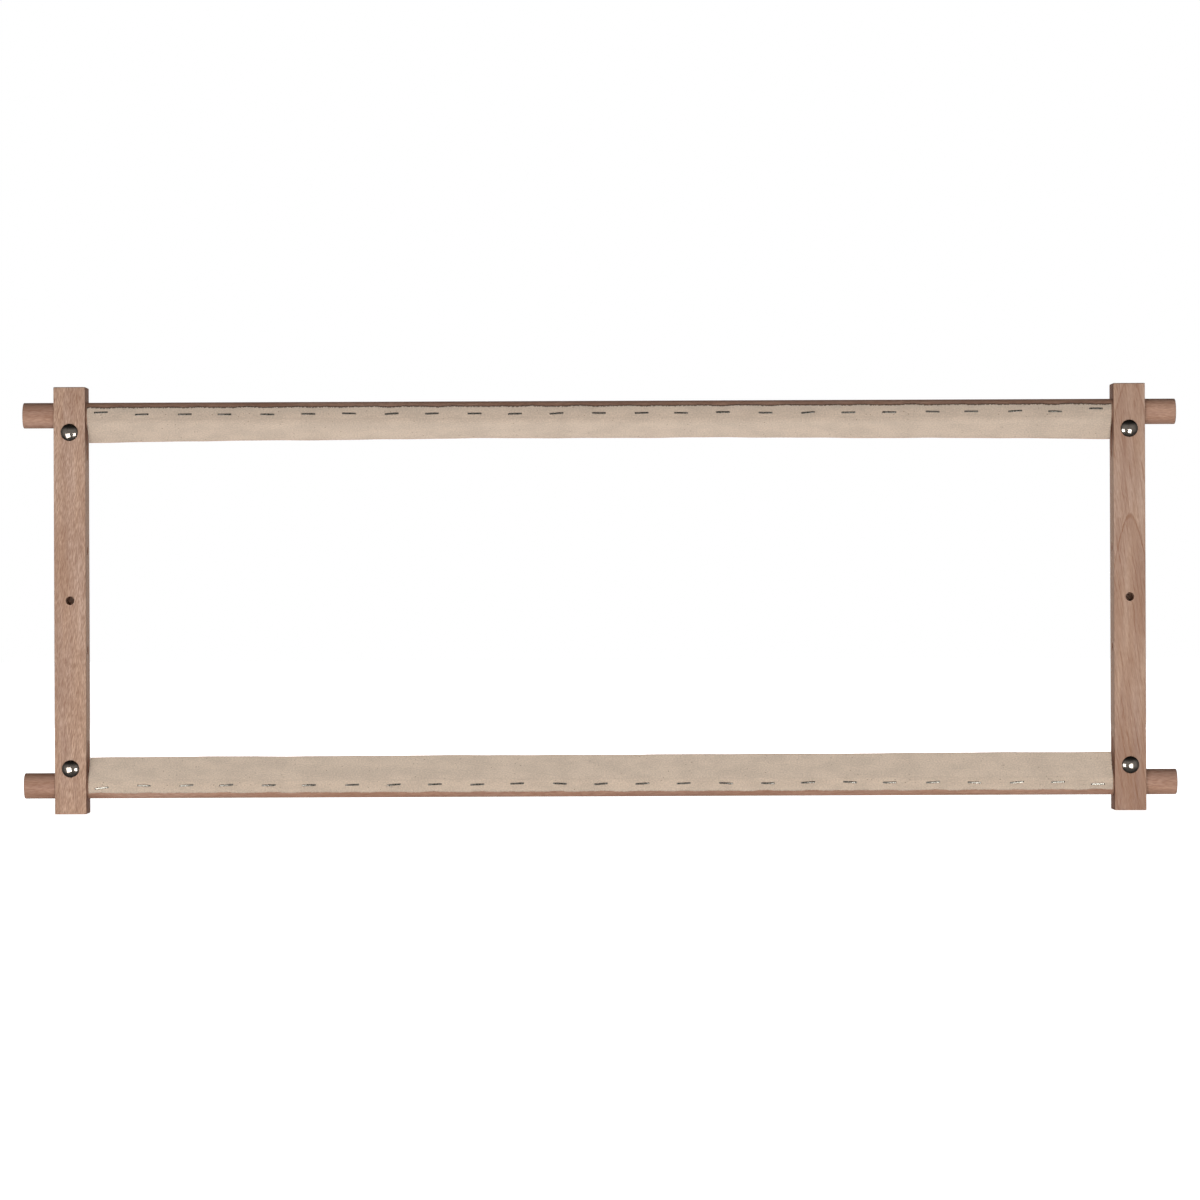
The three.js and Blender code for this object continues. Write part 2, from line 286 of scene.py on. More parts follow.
def new_group(name, kind, inputs, outputs):
    """Puts an empty group on the bench, and returns it, its input and its output sockets.
    A socket is given by its default value, or by its type's name if it needs none."""
    tree = work_on(bpy.data.node_groups.new(name, kind))
    for way, sockets in (("INPUT", inputs), ("OUTPUT", outputs)):
        for title, value in sockets.items():
            socket_type = f"NodeSocket{socket_word(value)}"
            made = tree.interface.new_socket(name=title, in_out=way, socket_type=socket_type)
            if not isinstance(value, str):
                made.default_value = value
    return tree, tree.nodes.new("NodeGroupInput").outputs, tree.nodes.new("NodeGroupOutput").inputs


def new_material(name):
    """A material whose empty tree is put on the bench."""
    material = bpy.data.materials.new(name)
    material.use_nodes = True
    work_on(material.node_tree).nodes.clear()
    return material


def end_material(height, strength, distance, values):
    """Ends a material with its bump, its shader and its output."""
    bump = add("Bump", {"Strength": strength, "Distance": distance, "Height": height})
    add("OutputMaterial", {"Surface": add("BsdfPrincipled", {"Normal": bump, **values})})
    lay_out()


def srgb(red, green, blue):
    """A colour as a picture editor gives it, 0 to 255, as the linear colour a shader wants."""
    share = [c / 255 for c in (red, green, blue)]
    return (*[c / 12.92 if c <= 0.04045 else ((c + 0.055) / 1.055) ** 2.4 for c in share], 1)


print("a middle grey is", round(srgb(128, 128, 128)[0], 3), "to a shader")

# %% [markdown]
# ## Light, floor and background
#
# The photograph was lit softly and from straight in front: fronts are even, the rollers' tops
# are dark, and their undersides are bright. One large, soft lamp far before the frame, and
# lower than its middle, gives that. The sky is weak above and below and stronger at the
# sides, for the bars' inner and outer faces, and two lamps light the back. Metal shows more
# than light does: a grey room in front, dark above, a white screen behind, and two lamps low
# at the sides, which only metal sees. Some lamps reach below the frame's feet, so the floor
# is left out of what blocks them and doesn't show in metal; the sky still gives the frame
# its shadow on the floor.

# %% World
AMBIENT = 0.12
world = bpy.data.worlds.new("white studio")
bpy.context.scene.world = world
world.use_nodes = True
work_on(world.node_tree).nodes.clear()
path = add("LightPath").outputs
towards = split(add("TexCoord").outputs["Generated"])
room = times(
    ramp(towards["Z"], 0.30, 0.78, 0.24, 0.02),
    ramp(towards["Z"], -0.60, -0.25, 0.4, 1.0),
    ramp(towards["Y"], -0.6, -0.2, 1.0, 0.4),
)
seen_in_metal = plus(room, ramp(towards["Y"], 0.0, 0.45, 0.0, 0.9))
lights_the_frame = plus(
    ramp(towards["Z"], 0.0, 0.7, AMBIENT, 0.3 * AMBIENT),
    ramp(size_of(towards["X"]), 0.3, 0.9, 0.0, 2.5 * AMBIENT),
)
shows_white = calc("MAXIMUM", path["Is Camera Ray"], path["Is Transmission Ray"])
strength = between(path["Is Glossy Ray"], lights_the_frame, seen_in_metal)
strength = between(shows_white, strength, 1.0)
add("OutputWorld", {"Surface": add("Background", {"Color": WHITE, "Strength": strength})})
lay_out()
print("ambient light", AMBIENT)

# %% Floor
FLOOR_HALF = 9  # in metres
FLOOR_GLOW, GLOW_TO_LIGHT = 0.92, 0.1
corners = [(x * FLOOR_HALF, y * FLOOR_HALF, 0) for x, y in ((-1, -1), (1, -1), (1, 1), (-1, 1))]
floor_mesh = bpy.data.meshes.new("floor")
floor_mesh.from_pydata(corners, [], [(0, 1, 2, 3)])
floor = in_scene("floor", floor_mesh)
floor.visible_glossy = False
floor_mesh.materials.append(new_material("pale_floor"))
path = add("LightPath").outputs
seen = calc("MAXIMUM", path["Is Camera Ray"], path["Is Transmission Ray"])
from_frame = vector_calc("LENGTH", add("TexCoord").outputs["Object"], result="Value")
seen = times(seen, ramp(from_frame, 1.0, 3.0, FLOOR_GLOW, 1.0))
level = times_plus(path["Is Diffuse Ray"], GLOW_TO_LIGHT, seen)
matt = add("BsdfDiffuse", {"Color": (0.8, 0.8, 0.8, 1)})
glow = add("Emission", {"Color": WHITE, "Strength": level})
add("OutputMaterial", {"Surface": add("AddShader", {0: matt, 1: glow})})
lay_out()
print("floor", 2 * FLOOR_HALF, "m wide")

# %% Lamps
FRAME_MIDDLE = Vector((0, 0, 159))
lets_light_through = bpy.data.collections.new("not in the lamps' way")
lets_light_through.objects.link(floor)
lets_light_through.collection_objects[0].light_linking.link_state = "EXCLUDE"


def lamp(name, place, wide, tall, level, for_metal=False):
    """A soft lamp aimed at the frame. level is about the light it gives a white face there."""
    data = bpy.data.lights.new(name, "AREA")
    data.shape, data.size, data.size_y = "RECTANGLE", wide * MM, tall * MM
    away = (Vector(place) - FRAME_MIDDLE) * MM
    data.energy = level * math.pi**2 * away.length_squared
    made = in_scene(name, data)
    made.location = Vector(place) * MM
    made.rotation_mode = "QUATERNION"
    made.rotation_quaternion = away.to_track_quat("Z", "Y")
    made.visible_camera = False
    made.visible_glossy, made.visible_diffuse = for_metal, not for_metal
    if place[2] < 0:
        made.light_linking.blocker_collection = lets_light_through
    return made


lamps = [
    lamp("soft_lamp", (-200, -3600, -500), 3000, 2200, 0.92),
    lamp("metal_lamp_left", (-536, -623, -76), 520, 430, 0.5, for_metal=True),
    lamp("metal_lamp_right", (471, -797, -115), 430, 430, 0.45, for_metal=True),
    lamp("back_lamp_left", (-600, 2300, 700), 1400, 1400, 0.4),
    lamp("back_lamp_right", (600, 2300, 700), 1400, 1400, 0.4),
]
print("lamps:", [(o.name, round(o.data.energy, 2)) for o in lamps])

# %% [markdown]
# ## Beech
#
# Both bars and rollers are steamed beech: pinkish tan, with the short dark dashes that its
# rays leave on every face cut along the grain. A picture of wood could be wrapped round the
# pieces, but its grain would not run through them. Here the colour is worked out at each
# point inside the wood, so that dashes on a face become dots on the end grain, and growth
# rings make arches where the face cuts them slantwise. The same group serves three
# materials, which differ in where the tree's middle was.

# %% Beech, as a shader group
beech, beech_in, beech_out = new_group(
    "beech grain",
    "ShaderNodeTree",
    {
        "Place": "Vector",
        "End Grain": 0.0,
        "Light Wood": (0.5, 0.35, 0.25, 1),
        "Dark Wood": (0.4, 0.27, 0.19, 1),
        "Lean": 0.0,
        "Fleck": (0.25, 0.14, 0.09, 1),
        "Fleck Strength": 0.6,
        "Streak Strength": 0.3,
        "Ring Line": (0.3, 0.15, 0.08, 1),
        "Ring Strength": 0.3,
        "Ring Centre": (0.0, 0.0, 0.0),
        "Ring Slant": 0.0,
        "Ring Spacing": 3.0,
        "Ring Waver": 4.0,
    },
    LOOK,
)
TO_MM = (1000, 1000, 1000)
place = stretched(beech_in["Place"], TO_MM)
wander = noise(place, (0.16, 0.16, 0.07), 2.0).outputs["Color"]
wander = vector_calc("SUBTRACT", wander, (0.5, 0.5, 0.5))
wavy = vector_calc("ADD", place, stretched(wander, (1.6, 1.6, 0)))
print("beech sockets", len(beech.interface.items_tree))

# %% Beech: flecks, fibres and tone
leaning = add("VectorRotate", {"Vector": wavy, "Axis": (0, 1, 0), "Angle": beech_in["Lean"]})
dashes = noise(leaning, (2.4, 2.4, 0.22), 1.0)
fleck = ramp(dashes, 0.38, 0.64, smooth=False)
fibres = noise(leaning, (2.4, 2.4, 0.08), 3.0)
streaks = ramp(noise(leaning, (1.2, 1.2, 0.03), 2.0), 0.5, 0.72)
tone = noise(wavy, (0.12, 0.12, 0.012), 3.0)
warmth = add("SeparateColor", {"Color": tone.outputs["Color"]}).outputs["Green"]
print("beech nodes so far", len(beech.nodes))

# %% Beech: growth rings
# Some years leave a strong line and others a faint one.
YEAR_SEED = 1448
FAINTEST_YEAR = 0.25
from_middle = split(vector_calc("SUBTRACT", place, beech_in["Ring Centre"]))
slanted = times_plus(from_middle["Z"], beech_in["Ring Slant"], from_middle["Y"])
radius = vector_calc("LENGTH", joined(X=from_middle["X"], Y=slanted), result="Value")
radius = times_plus(noise(place, (0.07, 0.07, 0.012), 2.0), beech_in["Ring Waver"], radius)
radius = times_plus(dashes, 0.35, radius)
years = calc("DIVIDE", radius, beech_in["Ring Spacing"])
year = calc("FRACT", years)
chance_of_year = plus(calc("FLOOR", years), YEAR_SEED)
marked = add("TexWhiteNoise", {"W": chance_of_year}, noise_dimensions="1D").outputs["Value"]
marked = times(ramp(marked, 0.0, 1.0, FAINTEST_YEAR, 1.0, smooth=False), beech_in["Ring Strength"])
late_wood = times(ramp(year, 0.25, 0.93), ramp(year, 1.0, 0.98))
year_end = times(ramp(year, 0.95, 0.98), ramp(year, 1.0, 0.99))
print("beech nodes with the rings", len(beech.nodes))

# %% Beech: put together
COOL, WARM = (0.98, 1.0, 1.03, 1), (1.01, 1.0, 0.97, 1)
END_GRAIN_TINT, END_GRAIN_SHARE = (0.55, 0.5, 0.45, 1), 0.45
grey = times_plus(fibres, 1.3, times_plus(tone, 3.0, -1.65), clamp=True)
wood = mixed(grey, beech_in["Light Wood"], beech_in["Dark Wood"])
wood = mixed(1.0, wood, mixed(ramp(warmth, 0.36, 0.64), COOL, WARM), blend="MULTIPLY")
for share, colour in (
    (times(late_wood, marked), "Dark Wood"),
    (times(year_end, marked), "Ring Line"),
    (times(streaks, beech_in["Streak Strength"]), "Ring Line"),
    (times(fleck, beech_in["Fleck Strength"]), "Fleck"),
):
    wood = mixed(share, wood, beech_in[colour])
wood = mixed(times(beech_in["End Grain"], END_GRAIN_SHARE), wood, END_GRAIN_TINT, blend="MULTIPLY")
feed(beech_out["Color"], wood)
feed(beech_out["Roughness"], times_plus(fibres, 0.16, times_plus(fleck, 0.08, 0.6)))
height = times_plus(fleck, -0.5, times(fibres, 0.6))
feed(beech_out["Height"], times_plus(late_wood, -0.2, height))
lay_out()
print("beech nodes", len(beech.nodes))

# %% Beech materials
WOODS = ("left_bar", "right_bar", "roller")
WOOD_COLOURS = {
    "Light Wood": ((206, 175, 154), (193, 163, 143), (191, 155, 135)),
    "Dark Wood": ((181, 149, 129), (166, 133, 114), (162, 126, 107)),
    "Fleck": ((132, 95, 75), (124, 88, 68), (128, 88, 68)),
    "Ring Line": ((150, 112, 88), (136, 92, 66), (148, 106, 82)),
}
WOOD_VALUES = {
    "Lean": (-0.12, 0.14, 0.0),
    "Fleck Strength": (0.65, 0.25, 0.45),
    "Streak Strength": (0.3, 0.55, 0.25),
    "Ring Strength": (0.2, 0.5, 0.4),
    "Ring Centre": ((-340.0, 40.0, 0.0), (394.5, 12.97, 213.0), (18.0, 4.0, 0.0)),
    "Ring Slant": (0.01, -0.065, 0.008),
    "Ring Spacing": (4.5, 6.7, 3.4),
    "Ring Waver": (5.0, 1.0, 5.0),
}
# Dark brown for the slot's walls: partly scorch, partly painted shade.
SCORCHED_AND_SHADED, SCORCH_AND_SHADE = srgb(116, 68, 46), 0.85
# Dark brown painted shade for the inner faces beside the rollers.
INNER_FACE_SHADE, INNER_SHADE_SHARE = srgb(104, 66, 46), 0.8
# A tint that makes the bars a little darker towards both ends.
DARKER_ENDS = (0.86, 0.84, 0.84, 1)


def marked_and_shaded(colour, where, facing):
    """A bar's colour with its scorch, painted shade in its slot and beside the rollers, and darker ends."""
    # The slot's walls and the bores are painted dark brown: partly the saw's and the drill's scorch,
    # partly painted shade that falls in the narrow slot.
    in_slot = ramp(size_of(minus(where["Y"], bar_middle_y * MM)), 3.7 * MM, 3.1 * MM)
    in_wall = ramp(size_of(facing["X"]), 0.6, 0.3)
    off_end = ramp(size_of(facing["Z"]), 0.98, 0.9)
    colour = mixed(times(in_slot, in_wall, off_end, SCORCH_AND_SHADE), colour, SCORCHED_AND_SHADED)
    # The bars are made a little darker towards both ends, and the inner faces beside the rollers
    # are painted with shade, as the rollers and tapes keep light from them.
    from_middle = size_of(minus(where["Z"], bar_length / 2 * MM))
    darkened = ramp(from_middle, 70 * MM, 150 * MM, 0.0, 0.25)
    colour = mixed(darkened, colour, DARKER_ENDS, blend="MULTIPLY")
    inwards = times(facing["X"], calc("SIGN", where["X"]))
    painted_inner_shade = times(ramp(inwards, -0.3, -0.8), ramp(from_middle, 98 * MM, 128 * MM), INNER_SHADE_SHARE)
    return mixed(painted_inner_shade, colour, INNER_FACE_SHADE)


def beech_material(column):
    """The beech of one kind of piece. A roller's grain runs along X, a bar's along Z."""
    kind = WOODS[column]
    values = {title: srgb(*row[column]) for title, row in WOOD_COLOURS.items()}
    values.update({title: row[column] for title, row in WOOD_VALUES.items()})
    material = new_material(f"beech_{kind}")
    coordinates = add("TexCoord").outputs
    where, facing = split(coordinates["Object"]), split(coordinates["Normal"])
    grain, end = coordinates["Object"], facing["Z"]
    if kind == "roller":
        grain, end = joined(X=where["Z"], Y=where["Y"], Z=where["X"]), facing["X"]
    sockets = {"Place": grain, "End Grain": ramp(size_of(end), 0.75, 0.95), **values}
    wood = add("Group", sockets, node_tree=beech).outputs
    colour = wood["Color"] if kind == "roller" else marked_and_shaded(wood["Color"], where, facing)
    shading = {"Base Color": colour, "Roughness": wood["Roughness"], "Specular IOR Level": 0.1}
    end_material(wood["Height"], 0.35, 0.08 * MM, shading)
    return material


bar_beech = {"left": beech_material(0), "right": beech_material(1)}
roller_beech = beech_material(2)
print("beech:", [m.name for m in (*bar_beech.values(), roller_beech)])

# %% [markdown]
# ## Cotton tape
#
# The tape is unbleached cotton in a plain weave: each thread goes over one and under the
# next. From a step away only a soft mottling, a few brown seed specks and the lines of the
# edges show, but close up the crossings do. The weave follows the cloth, not the room, so it
# is drawn on the sheet's own UV map, which is laid out as the tape was cut, in metres.

# %% Weave, as a shader group
weave, weave_in, weave_out = new_group(
    "plain weave",
    "ShaderNodeTree",
    {
        "Cut": "Vector",
        "Thread": 0.5,
        "Cloth": (0.58, 0.48, 0.39, 1),
        "Shade": (0.45, 0.36, 0.28, 1),
        "Seed": (0.2, 0.11, 0.06, 1),
    },
    {"Color": "Color", "Height": "Float"},
)
cut_mm = stretched(weave_in["Cut"], TO_MM)
drift = noise(cut_mm, (0.3, 0.3, 0), 1.0).outputs["Color"]
thread = split(vector_calc("ADD", cut_mm, stretched(drift, (0.35, 0.35, 0))))
warp_at, weft_at = (calc("DIVIDE", thread[axis], weave_in["Thread"]) for axis in "XY")
warp_round, weft_round = (calc("SINE", times(calc("FRACT", at), math.pi)) for at in (warp_at, weft_at))
over = calc("FLOORED_MODULO", plus(calc("FLOOR", warp_at), calc("FLOOR", weft_at)), 2.0)
warp_top = times(warp_round, times_plus(weft_round, 0.5, 0.5))
weft_top = times(weft_round, times_plus(warp_round, 0.5, 0.5))
crossing = between(over, warp_top, weft_top)
print("weave nodes so far", len(weave.nodes))

# %% Weave: mottling and specks
SPECK_STRENGTH = 0.55
slub = noise(cut_mm, (0.85, 0.95, 0), 2.0)
cloud = noise(cut_mm, (0.05, 0.1, 0), 4.0)
shade = times_plus(minus(1.0, crossing), 0.35, -0.12)
shade = plus(shade, ramp(slub, 0.32, 0.68, 0.0, 0.75, smooth=False))
shade = plus(shade, ramp(cloud, 0.35, 0.65, 0.0, 0.3), clamp=True)
cloth = mixed(shade, weave_in["Cloth"], weave_in["Shade"])
speck_place = stretched(cut_mm, (0.42, 0.5, 0))
specks = add("TexVoronoi", {"Vector": speck_place, "Scale": 1.0, "Randomness": 1.0}).outputs
rare = add("SeparateColor", {"Color": specks["Color"]}).outputs["Green"]
speck = ramp(minus(ramp(rare, 0.66, 1.0, 0.0, 0.24, smooth=False), specks["Distance"]), 0.0, 0.05)
feed(weave_out["Color"], mixed(times(speck, SPECK_STRENGTH), cloth, weave_in["Seed"]))
feed(weave_out["Height"], times_plus(slub, 0.35, crossing))
lay_out()
print("weave nodes", len(weave.nodes))

# %% Cotton materials
TAPE_WIDTH, TAPE_LENGTH = 31.75, 762.0
HALF_TAPE = TAPE_LENGTH / 2
# The bottom tape's cloth is painted lighter than the top's: painted light, standing in for light on its
# upturned face.
CLOTH_BOTTOM_PAINTED_LIGHTER = {"top": (215, 197, 179), "bottom": (225, 207, 188)}
# The top tape's loose threads are painted darker than the bottom's: painted shade, as its cut edge lies in
# shade.
THREAD_TONES_TOP_SHADED = {"top": (132, 106, 88), "bottom": (182, 158, 138)}
# How dark each cut edge is painted in dark brown: some dirt, and on the top tape mostly painted shade.
EDGE_DIRT_AND_SHADE = {"top": 0.9, "bottom": 0.12}
# The free edge's pinkish brown is partly its own selvedge threads and partly painted shade.
STAPLED_CLOTH, DIRT_AND_SHADE, SELVEDGE_AND_SHADE = srgb(172, 160, 146), srgb(62, 44, 36), srgb(184, 146, 127)
COTTON = {
    "Roughness": 0.92,
    "Specular IOR Level": 0.15,
    "Diffuse Roughness": 1.0,
    "Sheen Weight": 0.12,
    "Sheen Roughness": 0.5,
}


def edged(colour, cut, shade, edge_darkness):
    """A tape's colour with its stapled part, a bend line of painted shade, its cut edge darkened by dirt and
    painted shade, and its selvedge, darkened partly as painted shade.
    """
    width = split(cut)["Y"]
    # A thin wavering line of painted shade where the tape bends off the roller.
    crease_shade = minus(width, times_plus(noise(cut, (45, 0, 0), 1.0), 4.0 * MM, 7.6 * MM))
    teeth = ramp(noise(cut, (620, 0, 0), 1.0), 0.42, 0.62, 0.0, 0.6 * MM)
    for share, shown in (
        (ramp(width, 6.5 * MM, 2.0 * MM, 0.0, 0.15), STAPLED_CLOTH),
        (ramp(size_of(crease_shade), 1.0 * MM, 0.2 * MM, 0.0, 0.3), shade),
        (ramp(plus(width, teeth), 1.35 * MM, 0.75 * MM, 0.0, edge_darkness), DIRT_AND_SHADE),
        (ramp(width, (TAPE_WIDTH - 1.0) * MM, (TAPE_WIDTH - 0.4) * MM, 0.0, 0.6), SELVEDGE_AND_SHADE),
    ):
        colour = mixed(share, colour, shown)
    return colour


def cotton_material(name, cloth, thread, edge_darkness=None):
    """A cotton finish. An edge darkness adds a tape's edges, and darkens its cut edge that much, with dirt
    and painted shade.
    """
    material = new_material(name)
    cut = add("UVMap", uv_map="cut").outputs["UV"]
    shade = srgb(*(0.87 * c for c in cloth))
    sockets = {"Cut": cut, "Thread": thread, "Cloth": srgb(*cloth), "Shade": shade, "Seed": srgb(110, 80, 58)}
    woven = add("Group", sockets, node_tree=weave).outputs
    colour = woven["Color"] if edge_darkness is None else edged(woven["Color"], cut, shade, edge_darkness)
    end_material(woven["Height"], 0.5, 0.12 * MM, {"Base Color": colour, **COTTON})
    return material


cotton = {end: cotton_material(f"cotton_{end}_tape", CLOTH_BOTTOM_PAINTED_LIGHTER[end], 0.55, EDGE_DIRT_AND_SHADE[end]) for end in ENDS}
cotton_thread = {end: cotton_material(f"cotton_{end}_threads", THREAD_TONES_TOP_SHADED[end], 0.12) for end in ENDS}
print("cotton:", [m.name for m in (*cotton.values(), *cotton_thread.values())])

# %% [markdown]
# ## Plated steel
#
# Bolts, washers and wing nuts are bright plated steel, and the staples are drawn wire. Metal
# shows what is round it, so its own colour hardly varies; what makes it read as used metal
# is how the polish varies. One group gives both finishes their fine scratches and a little
# dulling in patches.

# %% Polish, as a shader group
polish, polish_in, polish_out = new_group(
    "handled metal",
    "ShaderNodeTree",
    {
        "Place": "Vector",
        "Smoothest": 0.12,
        "Dullest": 0.3,
        "Metal": (0.6, 0.58, 0.56, 1),
        "Tarnish": (0.4, 0.36, 0.33, 1),
    },
    LOOK,
)
metal_mm = stretched(polish_in["Place"], TO_MM)
patches = add("TexNoise", {"Vector": metal_mm, "Scale": 0.5, "Detail": 4.0})
hairlines = noise(metal_mm, (9, 2, 1.2), 3.0)
dull = ramp(patches, 0.35, 0.72)
rough = between(dull, polish_in["Smoothest"], polish_in["Dullest"])
feed(polish_out["Roughness"], times_plus(ramp(hairlines, 0.55, 0.7), 0.05, rough))
feed(polish_out["Color"], mixed(times(dull, 0.5), polish_in["Metal"], polish_in["Tarnish"]))
feed(polish_out["Height"], plus(hairlines, patches))
lay_out()
print("polish nodes", len(polish.nodes))


# %% Metal materials
def metal_material(name, smoothest, dullest, metal, tarnish):
    """A metal finish on the shared polish."""
    material = new_material(name)
    sockets = {"Smoothest": smoothest, "Dullest": dullest, "Metal": srgb(*metal), "Tarnish": srgb(*tarnish)}
    sockets["Place"] = add("TexCoord").outputs["Object"]
    look = add("Group", sockets, node_tree=polish).outputs
    shading = {"Base Color": look["Color"], "Roughness": look["Roughness"], "Metallic": 1.0}
    end_material(look["Height"], 0.08, 0.03 * MM, shading)
    return material


plated = metal_material("plated_steel", 0.1, 0.22, (200, 189, 177), (154, 140, 128))
staple_wire = metal_material("staple_wire", 0.24, 0.36, (136, 132, 124), (94, 89, 82))
print("metal:", plated.name, staple_wire.name)

# %% [markdown]
# ## Making meshes
#
# The frame's pieces are turned, sawn, cast or woven, and most can be described by a few
# profiles. These helpers turn a profile on a lathe, make an object whose mesh already lies
# in its place, join or cut closed shapes, and count the edges at which a mesh is open.

# %% Mesh helpers
def mesh_of(name, points, faces=()):
    """A mesh with its points given in millimetres, in their place."""
    mesh = bpy.data.meshes.new(name)
    mesh.from_pydata([tuple(float(c) * MM for c in p) for p in points], [], faces)
    return mesh


def finish_mesh(made, sharp=30):
    """Smooth shading that breaks where faces meet at more than sharp degrees."""
    mesh = made.data
    mesh.validate()
    mesh.shade_smooth()
    mesh.set_sharp_from_angle(angle=math.radians(sharp))
    mesh.update()


def new_object(name, points, faces, material=None):
    """An object at the origin whose mesh lies in its place."""
    made = in_scene(name, mesh_of(name, points, faces))
    if material:
        made.data.materials.append(material)
    finish_mesh(made)
    return made


def point_outwards(made):
    """Turns every face outwards, merges points that fell together, and gives the volume."""
    work = bmesh.new()
    work.from_mesh(made.data)
    bmesh.ops.remove_doubles(work, verts=work.verts, dist=1e-7)
    bmesh.ops.recalc_face_normals(work, faces=work.faces)
    volume = work.calc_volume(signed=True)
    if volume < 0:
        bmesh.ops.reverse_faces(work, faces=work.faces)
    work.to_mesh(made.data)
    work.free()
    return abs(volume) / MM**3


def solid(name, points, faces, material=None):
    """A closed object with its faces turned outwards."""
    made = new_object(name, points, faces, material)
    point_outwards(made)
    return made


def open_edges(made):
    """How many of a mesh's edges don't join exactly two faces."""
    work = bmesh.new()
    work.from_mesh(made.data)
    count = sum(len(edge.link_faces) != 2 for edge in work.edges)
    work.free()
    return count


def turned(profile, sides, closed=False):
    """Points and faces of (radius, height) pairs turned about Z; a radius of 0 is a pole."""
    points, rings, faces = [], [], []
    for radius, up in profile:
        count = sides if radius else 1
        rings.append(range(len(points), len(points) + count))
        for i in range(count):
            angle = 2 * math.pi * i / sides
            points.append((radius * math.cos(angle), radius * math.sin(angle), up))
    pairs = list(zip(rings, rings[1:])) + ([(rings[-1], rings[0])] if closed else [])
    for low, high in pairs:
        for i in range(sides):
            j = (i + 1) % sides
            if len(low) == 1:
                faces.append((low[0], high[j], high[i]))
            elif len(high) == 1:
                faces.append((low[i], low[j], high[0]))
            else:
                faces.append((low[i], low[j], high[j], high[i]))
    return points, faces


def arc(x, y, radius, start, end, steps):
    """Points along an arc, angles in degrees, both ends included."""
    angles = [math.radians(start + (end - start) * i / steps) for i in range(steps + 1)]
    return [(x + radius * math.cos(a), y + radius * math.sin(a)) for a in angles]


def baked(made):
    """Applies the object's modifiers, by taking the mesh they make."""
    graph = bpy.context.evaluated_depsgraph_get()
    result = bpy.data.meshes.new_from_object(made.evaluated_get(graph))
    old = made.data
    made.modifiers.clear()
    made.data = result
    bpy.data.meshes.remove(old)
    result.name = made.name


def combine(made, other, operation):
    """Cuts other out of made, or joins it to made, and removes other."""
    boolean = made.modifiers.new("combine", "BOOLEAN")
    boolean.operation, boolean.solver, boolean.object = operation, "EXACT", other
    baked(made)
    bpy.data.objects.remove(other)


def across_bar(side, y, z, points):
    """Points made about Z, put on a line from front to back through a bar, with 0 at y."""
    return [(bar_x[side] + a, y + c, z - b) for a, b, c in points]


def square_peg(side, end, half, front, back):
    """A square peg on a clamp's axis, between two distances behind the bar's front."""
    around = ((-half, -half), (half, -half), (half, half), (-half, half))
    points = [(bar_x[side] + i, bar_front + y, clamp_z[end] + k) for y in (front, back) for i, k in around]
    faces = [(0, 1, 2, 3), (7, 6, 5, 4), (0, 4, 5, 1), (1, 5, 6, 2), (2, 6, 7, 3), (3, 7, 4, 0)]
    return solid("peg", points, faces)


print("a quarter round in 5 steps has", len(arc(0, 0, 1, 0, 90, 5)), "points")

# %% [markdown]
# ## The end bars
#
# A bar is planed beech, 23.5 by 28 mm. A bore for each roller opens into a saw slot, so that
# a bolt can close the wood on the roller. The outline with its keyhole openings is drawn
# once and repeated in thin steps through the bar's width, a little smaller at the first and
# last, which eases every edge as sandpaper would. The bolt holes and the stand's hole cross
# that direction, so they are cut afterwards, with cutters whose mouths flare. The stand's hole
# is blind and ends in the drill's point.

# %% The bar's outline, a little smaller where its edges are eased
BORE_RADIUS = roller_radius + 0.3
SLOT_HALF, SLOT_PAST_BOLT = 3.0, 21.0
SIDE_HOLE_RADIUS, SIDE_HOLE_UP = 3.0, 37.0
BAR_EDGE, HOLE_EDGE, CORNER_RADIUS = 0.5, 0.28, 1.2
bar_middle_z = (roller_z["top"] + roller_z["bottom"]) / 2


def bar_outline(inset):
    """The bar's edge about its middle, in Y and Z."""
    y, z, radius = bar_depth / 2 - CORNER_RADIUS, bar_length / 2 - CORNER_RADIUS, CORNER_RADIUS - inset
    corners = ((y, -z, -90), (y, z, 0), (-y, z, 90), (-y, -z, 180))
    return [p for cy, cz, a in corners for p in arc(cy, cz, radius, a, a + 90, 5)]


def keyhole(end, grow):
    """A roller's bore and the slot that runs from it past the bolt, as one outline."""
    sign, turn = FLIP[end], {"top": 0, "bottom": 180}[end]
    half, radius = SLOT_HALF + grow, BORE_RADIUS + grow
    mouth = math.degrees(math.asin(half / radius))
    slot_end = clamp_z[end] - bar_middle_z - sign * SLOT_PAST_BOLT
    bore = arc(0, roller_z[end] - bar_middle_z, radius, mouth - 90 + turn, 270 - mouth + turn, 96)
    return bore + arc(0, slot_end + sign * SLOT_HALF, half, 180 + turn, 360 + turn, 12)


def bar_loops(share):
    """The outline and all the openings through the bar's width, with that share of easing."""
    grow = HOLE_EDGE * share
    rings = [arc(0, s * SIDE_HOLE_UP, SIDE_HOLE_RADIUS + grow, 0, 360, 40)[:-1] for s in (-1, 1)]
    return [bar_outline(BAR_EDGE * share), keyhole("top", grow), keyhole("bottom", grow), *rings]


print("points in the outline and each opening:", [len(loop) for loop in bar_loops(0)])

# %% Sweep the outline through the bar's width
EASE_STEPS = 5


def bar_levels():
    """Pairs of the distance from the bar's side, and how far its edges are eased there."""
    eased = []
    for i in range(EASE_STEPS + 1):
        turn = math.radians(90 * i / EASE_STEPS)
        eased.append((BAR_EDGE * (1 - math.cos(turn)), 1 - math.sin(turn)))
    return eased + [(bar_width - d, share) for d, share in reversed(eased)]


